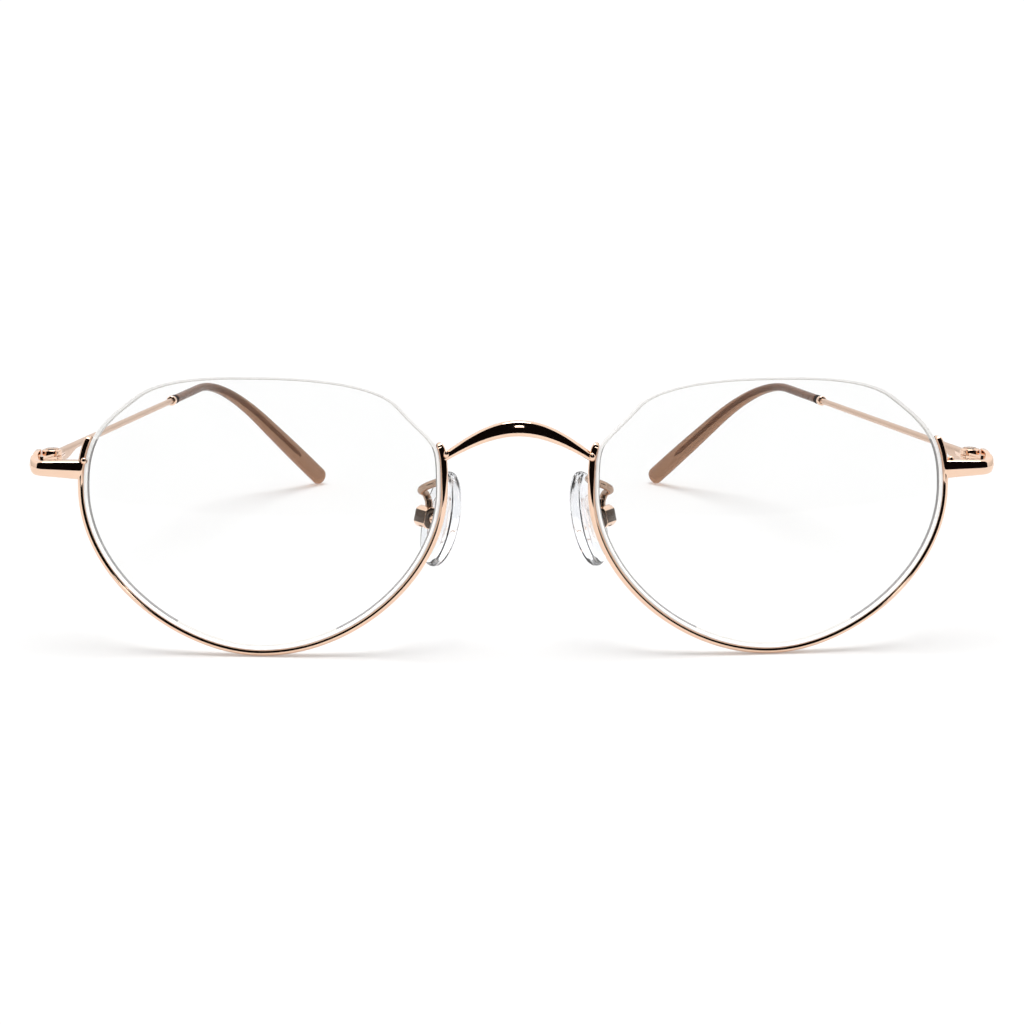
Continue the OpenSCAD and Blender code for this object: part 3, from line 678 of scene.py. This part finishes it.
for side in ("left", "right"):
    glass = bpy.data.objects[f"lens_skin_{side}"].data
    for finish in (ground_edge, groove_painted_shade, cord_line):
        glass.materials.append(finish)
    for face in glass.polygons:
        band, stop = divmod(face.index, lens_around)
        face.material_index = edge_finish(band, stop * 6 / lens_around)
print("finishes on a lens", [finish.name for finish in glass.materials])

# %% [markdown]
# The nylon cord lies in the lens's groove over the top, and each end turns out into the rim's
# channel. It is a round section carried along the same edge, and only its depth changes. Just
# its two ends can be made out, as pale dots beside the prongs.

# %% Nylon cords
cord_r, cord_turn = 0.25, 2.4


def cord_shape(count=220):
    rings = []
    for s in steps(cord_from, cord_to, count):
        into = min(s - cord_from, cord_to - s) / edge_mm(s)
        depth = mix(channel_d - cord_r - gap, cord_r + gap - groove, ease(0, cord_turn, into))
        rings.append([beside(s, depth + cord_r * math.cos(a), cord_r * math.sin(a))
                      for a in turns(12)])
    return skin(rings)


pair("nylon_cord", cord_shape())

# %% [markdown]
# The bridge is a bar that arches over the nose and bows forwards. Its front is a rounded
# ridge with a flatter lip below, and each has its own part of the room to mirror: the ridge
# the black card, the lip the white table. A round wire would show one even line, so the
# section is drawn point by point. It thins towards its ends, where it is brazed on.

# %% Bridge
bridge_drop, bridge_rise, bridge_bow, bridge_d = 11.7, 4.6, 2.0, 1.8
bridge_low_h, bridge_high_h = 1.1, 2.2
bridge_end = beside(edge_at(lens_h / 2 - bridge_drop, 3, 4), rim_t * 0.4, 0)
bridge_section = [(-0.36, -0.46), (-0.2, -0.5), (0, -0.5), (0.25, -0.5), (0.41, -0.43), (0.48, -0.28),
                  (0.5, -0.1), (0.49, 0.14), (0.43, 0.34), (0.3, 0.45), (0.12, 0.495), (-0.05, 0.5),
                  (-0.17, 0.47), (-0.26, 0.42), (-0.35, 0.31), (-0.41, 0.16), (-0.46, 0), (-0.49, -0.14),
                  (-0.5, -0.22), (-0.485, -0.3), (-0.45, -0.38)]


def bridge_place(t):
    lift = math.cos(math.pi / 2 * t)
    return Vector((bridge_end.x * t, bridge_end.y - bridge_bow * lift, bridge_end.z + bridge_rise * lift))


def bridge_shape(count=120):
    rings = []
    for t in steps(-1, 1, count):
        lift = max(0.0, math.cos(math.pi / 2 * t))
        way = (bridge_place(t + 0.02) - bridge_place(t - 0.02)).normalized()
        back = UP.cross(way).normalized()
        high = way.cross(back)
        h = mix(bridge_low_h, bridge_high_h, lift ** 1.2)
        d = mix(bridge_d * 0.85, bridge_d, lift)
        rings.append([bridge_place(t) + back * b * d + high * u * h for b, u in bridge_section])
    return skin(rings)


settle("bridge_skin", form(bridge_shape()), "front", "rose_gold", "bridge")
print("bridge ends at", [round(c, 2) for c in bridge_end])

# %% [markdown]
# The end piece is one bar of metal, bent. Two blocks could be joined at the corner, but one
# section carried round the bend has no seam to hide. Its front crosses over the rim, stands
# proud of it and ends along the rim's inner edge, and its arm runs back to the hinge. The
# front has a ridge, and above it the metal mirrors the black card and below it the table.

# %% End pieces
hinge, hinge_h = Vector((66.1, -59.7043, 27.1)), 2.7
rim_side = beside(edge_at(hinge.z - lens_z, 0, 1), rim_t, 0)
lug_h, lug_t, lug_lip, lug_sink, lug_arm_t, lug_turn = 2.7, 2.2, 0.35, 0.85, 0.9, 0.9
lug_front = rim_side.y - rim_d / 2 - lug_lip + lug_t
arm_in, lug_top = 67.6, hinge.z + hinge_h / 2
lug_section = [(0, -0.9), (0, -0.5), (0, -0.08), (0.03, -0.02), (0.1, 0), (0.35, 0), (0.62, 0),
               (0.75, -0.012), (0.83, -0.045), (0.88, -0.1), (0.92, -0.2), (0.955, -0.31),
               (0.985, -0.41), (0.995, -0.47), (0.985, -0.54), (0.955, -0.66), (0.91, -0.79),
               (0.86, -0.89), (0.78, -0.965), (0.66, -1), (0.35, -1), (0.12, -1), (0.04, -0.96)]


def rim_edge_x(z):
    """Where the rim's inner edge is at that height."""
    return beside(edge_at(z - lens_z, 0, 1), 0.04, -rim_d / 2).x


def lug_station(k):
    """The bar at k: 0 to 1 across the front, 1 to 2 round its bend, 2 to 3 back to the hinge.
    Gives a place on its inner face, the way out of it, its thickness, height and top."""
    turn = math.pi / 2 * min(1, max(0, k - 1))
    out = Vector((math.sin(turn), -math.cos(turn), 0))
    corner = Vector((arm_in - lug_turn, lug_front + lug_turn, 0))
    face = Vector((corner.x, lug_front, 0)) if k < 1 else corner + out * lug_turn
    if k > 2:
        face = Vector((arm_in, mix(corner.y, hinge.y, k - 2), 0))
    thick = mix(lug_t, lug_arm_t, turn / (math.pi / 2))
    high = mix(lug_h, hinge_h * 0.8, min(1, k))
    return face, out, thick, high, lug_top - lug_sink * (1 - ease(1, 2.6, k))


def lug_shape():
    rings = []
    ends = [(0, 0.8), (0.008, 0.9), (0.02, 0.96), (0.035, 0.99), (0.06, 1)]
    rest = steps(0.1, 1, 9) + steps(1, 2, 20)[1:] + steps(2, 3, 10)[1:]
    for k, size in ends + [(k, 1) for k in rest]:
        face, out, thick, high, top = lug_station(k)
        ring = []
        for o, u in lug_section:
            z = mix(top - high / 2, top + u * high, mix(1, size, 0.35))
            x = mix(rim_edge_x(z), face.x, k) if k < 1 else face.x
            ring.append(Vector((x, face.y, z)) + out * o * thick * size)
        rings.append(ring)
    return skin(rings)


pair("end_piece", lug_shape())

# %% [markdown]
# A temple and its tip follow one line: straight, a round bend behind the ear, and straight
# down to the tip's end. A function gives the line, not a curve object, because the rod, the
# wire and the tip each start and stop at their own distance along it. around() lays a ring
# round that line.

# %% The temple's line
temple_lean, temple_reach, temple_fall = 13.5, 103.0, 2.2
tip_reach, tip_lean, bend_r, tip_len = 27.0, 18.0, 42.0, 73.0
temple_root_h, temple_root_w, temple_wire_d, temple_root_len = 1.9, 1.2, 1.0, 11.0
tip_end_z = 1.01723
root = hinge + UP * (temple_root_h - temple_wire_d) / 2
corner = root + Vector((-temple_lean, temple_reach, -temple_fall))
tip_end = Vector((corner.x - tip_lean, corner.y + tip_reach, tip_end_z))
way_1, way_2 = (corner - root).normalized(), (tip_end - corner).normalized()
bend = math.acos(way_1.dot(way_2))
bend_cut = bend_r * math.tan(bend / 2)
bend_in = (way_2 - way_1 * way_1.dot(way_2)).normalized()
straight_1 = (corner - root).length - bend_cut
temple_len = straight_1 + bend_r * bend + (tip_end - corner).length - bend_cut
ring_len, collar_len, wire_short = 1.1, 1.6, 9
tip_start, wire_end = temple_len - tip_len, temple_len - wire_short
collar_start = tip_start - ring_len - collar_len
print("temple length", round(temple_len, 2))


def line(r):
    """The temple's middle line r behind its root, and its heading."""
    turned = (r - straight_1) / bend_r
    if r <= straight_1:
        return root + way_1 * r, way_1
    if turned < bend:
        place = root + way_1 * straight_1
        return (place + (way_1 * math.sin(turned) + bend_in * (1 - math.cos(turned))) * bend_r,
                way_1 * math.cos(turned) + bend_in * math.sin(turned))
    return tip_end - way_2 * (temple_len - r), way_2


def around(r, w, h, n, square=1.0, drop=0.0):
    """A ring round the temple's line. square below 1 flattens its sides."""
    centre, way = line(r)
    side = way.cross(UP).normalized()
    high = side.cross(way)
    def soft(x):
        return math.copysign(abs(x) ** square, x)
    return [centre - UP * drop + side * soft(math.cos(a)) * w / 2 + high * soft(math.sin(a)) * h / 2
            for a in turns(n)]


print("line ends at", [round(c, 2) for c in line(temple_len)[0]])

# %% [markdown]
# A temple is deep at its hinge, then a slim straight rod, and its wire runs on inside the plastic tip to
# stiffen it. There it tapers and lies a little high, as in the photograph. The rod is brushed, so it is
# duller than the front, and its gold is also painted a little darker, as painted shade. The wire inside
# the tip is seen through brown plastic and looks like a soft dark stripe, so it is painted a dull dark
# brown, as painted shade for the dim inside of the tip.

# %% Temples
root_at, temple_sides, wire_thin, wire_lift, wire_round = 1.65, 24, 0.75, 0.4, 1.5
rod_stops = steps(root_at, temple_root_len, 24) + steps(temple_root_len, collar_start, 40)[1:]


def temple_shape():
    rings = []
    for r in rod_stops + steps(collar_start, wire_end, 60)[1:]:
        slim = ease(temple_root_len * 0.5, temple_root_len, r)
        w = mix(temple_root_w, temple_wire_d, ease(root_at, collar_start * 0.8, r))
        h = mix(temple_root_h, temple_wire_d, slim)
        inside = ease(tip_start, wire_end, r)
        thin = mix(1, wire_thin, inside)
        thin = thin * math.sqrt(min(1, max(0.02, (wire_end - r) / wire_round)))
        rings.append(around(r, w * thin, h * thin, temple_sides, mix(0.75, 1.0, slim),
                            (h - temple_wire_d) / 2 - wire_lift * inside))
    return skin(rings)


pair("temple", temple_shape())
# The brushed gold is painted a fifth darker, as painted shade.
brushed = rose_gold("brushed_rose_gold", 0.28, 0.8)
# The wire in the tip is painted dull dark brown, as painted shade.
shaded_core_wire = plastic("shaded_core_wire", (0.20, 0.12, 0.085, 1), (0.25, 0.155, 0.11, 1), 0.4, 600)
wire_first = temple_sides * (len(rod_stops) + 1)
for side in ("left", "right"):
    rod = bpy.data.objects[f"temple_skin_{side}"].data
    rod.materials[0] = brushed
    rod.materials.append(shaded_core_wire)
    for face in rod.polygons:
        face.material_index = int(face.index > wire_first)
print("wire faces", sum(face.material_index for face in rod.polygons))

# %% [markdown]
# The tip is a moulded sleeve over the wire. A smoothed box would do for its shape, but rings
# on the temple's line keep it centred on the wire all the way. It starts slim at the dark
# ring, widens behind the ear and ends round, 9 mm past the end of the wire.

# %% Tips
tip_root_d, tip_w, tip_h, tip_round, tip_bore, tip_sides, tip_square = 1.5, 2.7, 3.5, 1.3, 1.06, 28, 0.94


def tip_size(r, share=1):
    """The tip's width and height at r along the temple's line, shrunk to a share of them."""
    grown = ease(tip_start + tip_len * 0.25, temple_len - 4, r)
    return [mix(tip_root_d, size, grown) * share for size in (tip_w, tip_h)]


def tip_shape():
    rings = [around(tip_start, d, d, tip_sides) for d in (tip_bore, tip_root_d - 0.1)]
    rings += [around(r, *tip_size(r), tip_sides, tip_square)
              for r in steps(tip_start + 0.1, temple_len - tip_round, 110)]
    for a in steps(0, 1.4, 8)[1:]:
        rings.append(around(temple_len - tip_round * (1 - math.sin(a)),
                            *tip_size(temple_len, math.cos(a) ** 0.6), tip_sides, tip_square))
    return skin(rings)


pair("temple_tip", tip_shape())

# %% [markdown]
# A nose pad is a soft oval of clear silicone, crowned on the side that meets the nose and
# flatter behind. A squashed ball would be equally round on both sides, so the two sides get
# their own rings. from_pad() turns a place in the pad's own axes into one on the glasses.

# %% Nose pads
pad_middle = Vector((10.6, 9.6 + front_plane, 18.1))
splay, tilt = math.radians(33), math.radians(14)
pad_len, pad_w, pad_t = 14.0, 7.8, 2.6
pad_back_t = pad_t * 0.42


def from_pad(x, y, z):
    """A point given in the pad's own axes: out of its back, across it and along it."""
    a = x * math.cos(tilt) - z * math.sin(tilt)
    b = x * math.sin(tilt) + z * math.cos(tilt)
    return pad_middle + Vector((a * math.cos(splay) + y * math.sin(splay),
                                y * math.cos(splay) - a * math.sin(splay), b))


def pad_shape(count=64):
    nose_t = pad_t - pad_back_t
    def loop(share, x):
        return [from_pad(x, share * pad_w / 2 * math.cos(a) * (1 - 0.06 * math.sin(a)),
                         share * pad_len / 2 * math.sin(a)) for a in turns(count)]
    rings = [loop(0.02, -nose_t)]
    for a in steps(0, math.pi / 2, 12)[1:]:
        rings.append(loop(math.sin(a), -nose_t * math.cos(a) ** 0.9))
    back = [(1, 0.04), (0.995, 0.35), (0.975, 0.6), (0.93, 0.82), (0.85, 0.94), (0.7, 1), (0.3, 1)]
    return skin(rings + [loop(share, pad_back_t * x) for share, x in back])


pair("nose_pad", pad_shape())

# %% [markdown]
# Each pad hangs on a wire that leaves the back of the rim, loops out behind the lens and comes down to the
# pad's box. through() draws a smooth curve through a few points of that route, which are easier to place
# than a curve's handles. The arms stand in the shade of the front, so their gold is painted darker, as
# painted shade.

# %% Pad arms
def through(points, t):
    last = len(points) - 1
    i = min(last - 1, int(t * last))
    u = t * last - i
    a, b, c, d = points[max(0, i - 1)], points[i], points[i + 1], points[min(last, i + 2)]
    return 0.5 * (2 * b + (c - a) * u + (2 * a - 5 * b + 4 * c - d) * u * u
                  + (3 * b - a - 3 * c + d) * u ** 3)


arm_d, arm_high, box_x, box_len, box_h = 1.1, 4.6, pad_back_t + 0.55, 2.3, 3.1
arm_root = beside(edge_at(arm_high, 3, 4), rim_t * 0.6, rim_d * 0.3)
seat = from_pad(box_x + box_len * 0.45, 0, box_h / 2 - 0.2)
arm_path = [arm_root + Vector(v) for v in ((0, 0, 0), (-0.2, 1.9, 0), (0.9, 3.6, -0.7), (2.5, 4.6, -1.5))]
arm_path += [seat + Vector(v) for v in ((1.1, -0.8, 2.7), (0.5, 0.4, 2), (0.05, 0.2, 1), (0, 0, 0))]


def tube(path, d, sides=16):
    rings = []
    for i, place in enumerate(path):
        way = (path[min(len(path) - 1, i + 1)] - path[max(0, i - 1)]).normalized()
        side = way.cross(Vector((0, 1, 0)) if abs(way.z) > 0.9 else UP).normalized()
        high = side.cross(way)
        rings.append([place + side * math.cos(a) * d / 2 + high * math.sin(a) * d / 2
                      for a in turns(sides)])
    return skin(rings)


pair("pad_arm", tube([through(arm_path, t) for t in steps(0, 1, 90)], arm_d))
# The arms' gold is painted at half brightness, as painted shade.
arm_painted_shade_gold = rose_gold("arm_painted_shade_gold", 0.06, 0.5)
for side in ("left", "right"):
    bpy.data.objects[f"pad_arm_skin_{side}"].data.materials[0] = arm_painted_shade_gold

# %% [markdown]
# The front half of the hinge is two round knuckles on a plate that is brazed inside the bent
# end piece. It could be cut out with booleans, which leave long thin faces that shade badly.
# Two helpers make clean ones: one turns a profile round the hinge's axis, as a lathe does,
# and the other cuts a flat plate from an outline.

# %% Turning and cutting
def turned(profile, sides=40):
    """Points and faces of a closed ring with this profile of radius and height."""
    n = len(profile)
    points = [hinge + Vector((r * math.cos(a), r * math.sin(a), z))
              for a in turns(sides) for r, z in profile]
    faces = [(i * n + j, i * n + (j + 1) % n, (i + 1) % sides * n + (j + 1) % n, (i + 1) % sides * n + j)
             for i in range(sides) for j in range(n)]
    return points, faces


def cut_plate(outline, low, high):
    """Points and faces of a flat plate between two heights from the hinge's middle."""
    n = len(outline)
    points = [Vector((p.x, p.y, hinge.z + z)) for z in (low, high) for p in outline]
    faces = [tuple(range(n)), tuple(range(n, 2 * n))]
    return points, faces + [(i, (i + 1) % n, n + (i + 1) % n, n + i) for i in range(n)]


def round_hinge(r, first, last):
    """Points of an arc round the hinge, between two angles in degrees."""
    return [hinge + Vector((math.cos(a), math.sin(a), 0)) * r
            for a in steps(math.radians(first), math.radians(last), 10)]


print("hinge axis at", [round(c, 2) for c in hinge])

# %% [markdown]
# The knuckles stand a little proud of the plate and have rounded rims, which mirror the black
# card. The upper one has a sunk seat for the screw's head. Between them the plate reaches
# only as far as the slot where the temple's knuckle turns.

# %% Front hinges
knuckle_r, slot_h, seat_r, seat_deep, bore_r = 1.4, 0.98, 0.93, 0.3, 0.56
hinge_top, slot_top, rim_round, small_round, plate_drop = hinge_h / 2, slot_h / 2, 0.26, 0.06, 0.5
rounded = [(knuckle_r - rim_round * (1 - math.cos(a)), hinge_top - rim_round * (1 - math.sin(a)))
           for a in steps(0, math.pi / 2, 6)]
knuckle = [(bore_r, slot_top), (knuckle_r - small_round, slot_top),
           (knuckle_r, slot_top + small_round)] + rounded
seat_profile = [(seat_r, hinge_top), (seat_r, hinge_top - seat_deep), (bore_r, hinge_top - seat_deep)]
bend_line = [lug_station(k)[0] for k in steps(1, 2, 8) + steps(2, 3, 3)[1:]]
outline = round_hinge(1.0, 0, -135) + bend_line
behind_slot = round_hinge(1.52, -20, -125) + bend_line[:-1]
points, faces = [], []
for more, its_faces in (turned(knuckle + seat_profile),
                        turned([(r, -z) for r, z in knuckle + [(bore_r, hinge_top)]]),
                        cut_plate(outline, slot_top, hinge_top - plate_drop),
                        cut_plate(outline, -hinge_top, -slot_top),
                        cut_plate(behind_slot, -slot_top, slot_top)):
    faces += [tuple(len(points) + i for i in face) for face in its_faces]
    points += more
pair("front_hinge", (points, faces))

# %% [markdown]
# The small turned and milled pieces have the right shape already, but no real edge is quite
# sharp: a worn edge catches a thin line of light. Each is copied, its flat faces are joined
# up again, and its edges are rounded a little. A Bevel modifier does the same live, and here
# the bevel is part of the mesh, so the piece is finished. Widths are in millimetres.

# %% Small metal and plastic pieces
softenings = {"hinge_screw": 0.08, "temple_hinge": 0.2, "tip_collar": 0.0, "tip_ring": 0.06,
              "pad_box": 0.32, "pad_screw": 0.05, "pad_insert": 0.05}


def softened(node, width):
    work = bmesh.new()
    work.from_mesh(nodes[node].data)
    bmesh.ops.remove_doubles(work, verts=work.verts, dist=2e-6)
    bmesh.ops.dissolve_limit(work, angle_limit=math.radians(0.5), verts=work.verts, edges=work.edges)
    edges = [e for e in work.edges if e.is_manifold and e.calc_face_angle() > math.radians(40)]
    bmesh.ops.bevel(work, geom=edges, offset=width * MM, offset_type="OFFSET", segments=3,
                    profile=0.5, affect="EDGES", clamp_overlap=True)
    bmesh.ops.triangulate(work, faces=[f for f in work.faces if len(f.verts) > 4])
    return settle(f"{node}_soft", work, bodies[node], slots[node], node, 50)


for node, width in softenings.items():
    for side in ("left", "right"):
        piece = softened(f"{node}_{side}", width)
    print(node, len(piece.data.polygons), "faces each")

# %% [markdown]
# A pad's box is folded from thin sheet and open at its sides and back, so those look almost black inside a
# gold outline. The solid box has no openings, so its flat faces there are painted almost black, as painted
# shade, which at this size looks much the same as an opening, and the rounded edges of the softened boxes
# stay gold.

# %% Painted shade on the sides of the pads' boxes
# Near-black gold, painted shade for the box's open sides and back.
box_painted_shade = rose_gold("pad_box_painted_shade", 0.12, 0.1)
for side, sign in (("left", 1), ("right", -1)):
    box = bpy.data.objects[f"pad_box_{side}_soft"].data
    shaded_ways = [from_pad(*way) - from_pad(0, 0, 0) for way in ((0, 1, 0), (0, -1, 0), (1, 0, 0))]
    shaded_ways = [Vector((way.x * sign, way.y, way.z)) for way in shaded_ways]
    box.materials.append(box_painted_shade)
    for face in box.polygons:
        face.material_index = int(max(face.normal.dot(way) for way in shaded_ways) > 0.97)
print("open sides", sum(face.material_index for face in box.polygons), "faces each")

# %% [markdown]
# The joints are brazed, and each leaves a little smooth lump of metal: at both ends of the
# bridge, and where each end piece crosses its rim. They could be placed by typed numbers, but
# a ray keeps them on the metal. Each lump sits where the ray through its image point meets
# the finished metal, or nearest to that ray if it misses.

# %% Drops of solder
def mesh_points(name):
    piece = bpy.data.objects[name]
    return [piece.matrix_world @ v.co for v in piece.data.vertices]


def tree_of(names):
    """The named pieces as one search tree."""
    points, faces = [], []
    for name in names:
        first = len(points)
        points += mesh_points(name)
        faces += [[first + i for i in face.vertices] for face in bpy.data.objects[name].data.polygons]
    return BVHTree.FromPolygons(points, faces)


def on_view(x, y, carriers):
    """Where the ray through an image point meets these pieces, or comes nearest to them."""
    reach = max(W, H) * camera_data.lens / camera_data.sensor_width
    way = camera.matrix_world.to_3x3() @ Vector((x - W / 2, H / 2 - y, -reach))
    way.normalize()
    place = tree_of(carriers).ray_cast(camera_spot, way)[0]
    if place is None:
        corners = [p for name in carriers for p in mesh_points(name)]
        place = min(corners, key=lambda p: (p - camera_spot).cross(way).length)
    return place


bridge_drop_size, lug_drop_size, drop_sunk = (0.5, 0.55, 0.62), (0.5, 0.45, 0.5), 0.15
bpy.context.view_layer.update()
for name, carriers, size in (
        ("bridge_joint_L", ("bridge_skin", "rim_skin_right"), bridge_drop_size),
        ("bridge_joint_R", ("bridge_skin", "rim_skin_left"), bridge_drop_size),
        ("lug_joint_L", ("end_piece_skin_right", "rim_skin_right"), lug_drop_size),
        ("lug_joint_R", ("end_piece_skin_left", "rim_skin_left"), lug_drop_size)):
    spot = on_view(*image_points[name], carriers)
    work = bmesh.new()
    bmesh.ops.create_icosphere(work, subdivisions=4, radius=MM)
    for v in work.verts:
        v.co = Vector(c * s for c, s in zip(v.co, size)) + spot + Vector((0, drop_sunk * MM, 0))
    settle(f"solder_{name}", work, "front", "rose_gold", None)
    print(name, [round(c / MM, 2) for c in spot])

# %% [markdown]
# Last come the measures.

# %% Bring the scene up to date
bpy.context.view_layer.update()
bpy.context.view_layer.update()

# %% [markdown]
# A vertex shows if nothing solid is between it and the camera. A render of depths could tell,
# and a search tree of the solid pieces tells it without rendering. Lenses, cords and pads are
# clear, so they don't hide what is behind them.

# %% What shows
def in_view(place):
    """Where a place shows in the picture, in pixels."""
    x, y, z = camera.matrix_world.inverted() @ place
    reach = camera_data.lens / camera_data.sensor_width * max(W, H)
    return Vector((W / 2 - x / z * reach, H / 2 + y / z * reach))


opaque = ("rim_skin", "bridge", "end_piece", "front_hinge", "hinge_screw", "temple", "tip_",
          "pad_arm", "pad_box")
hiders = [piece.name for piece in bpy.context.scene.objects
          if piece.name not in nodes and piece.name.startswith(opaque)]
tree, surface_slack = tree_of(hiders), 0.15 * MM


def shows(place):
    way = place - camera_spot
    hit = tree.ray_cast(camera_spot, way.normalized())[3]
    return hit is None or hit > way.length - surface_slack


def furthest(name, spot, way, clear_piece=False, within=10, level_within=1):
    """The vertex that shows furthest that way, within so many pixels to either side of the
    spot. Among those that are level with it, it is the one nearest the spot."""
    way = Vector(way).normalized()
    across = Vector((-way.y, way.x))
    def aside(p):
        return abs((p - spot).dot(across))
    seen = [in_view(p) for p in mesh_points(name) if clear_piece or shows(p)]
    seen = [p for p in seen if aside(p) < within]
    if not seen:
        return None
    reach = max(p.dot(way) for p in seen)
    return min((p for p in seen if p.dot(way) > reach - level_within), key=aside)


print("pieces that can hide others", len(hiders))

# %% [markdown]
# Edges are measured by the outermost vertex that shows, collars and drops of solder by the middle of what
# shows of them.

# %% Points
left_ways = {"outermost": ("end_piece", -1, 0), "rim_bottom": ("rim", 0, 1),
             "rim_temporal": ("rim", -1, 0), "prong_nose": ("rim", 0, -1),
             "prong_temple": ("rim", 0, -1), "tip_end": ("temple_tip", 0.6, 0.8)}
measured = {"lens_top": ("lens_skin_right", (0, -1)), "bridge_top": ("bridge_skin", (0, -1))}
for name, (piece, x, y) in left_ways.items():
    measured[name + "_L"] = (piece + "_skin_right", (x, y))
    measured[name + "_R"] = (piece + "_skin_left", (-x, y))
for name, (piece, way) in measured.items():
    spot = Vector(image_points[name])
    seen = furthest(piece, spot, way, clear_piece=name == "lens_top")
middles = {"collar_L": "tip_collar_right_soft", "collar_R": "tip_collar_left_soft"}
middles.update({name: f"solder_{name}" for name in image_points if "joint" in name})
for name, piece in middles.items():
    seen = [in_view(p) for p in mesh_points(piece) if shows(p)]
    if seen:
        spot = image_points[name]
        middle = [(min(p[i] for p in seen) + max(p[i] for p in seen)) / 2 for i in (0, 1)]
        round(middle[0] - spot[0], 1)
        round(middle[1] - spot[1], 1)

# %% [markdown]
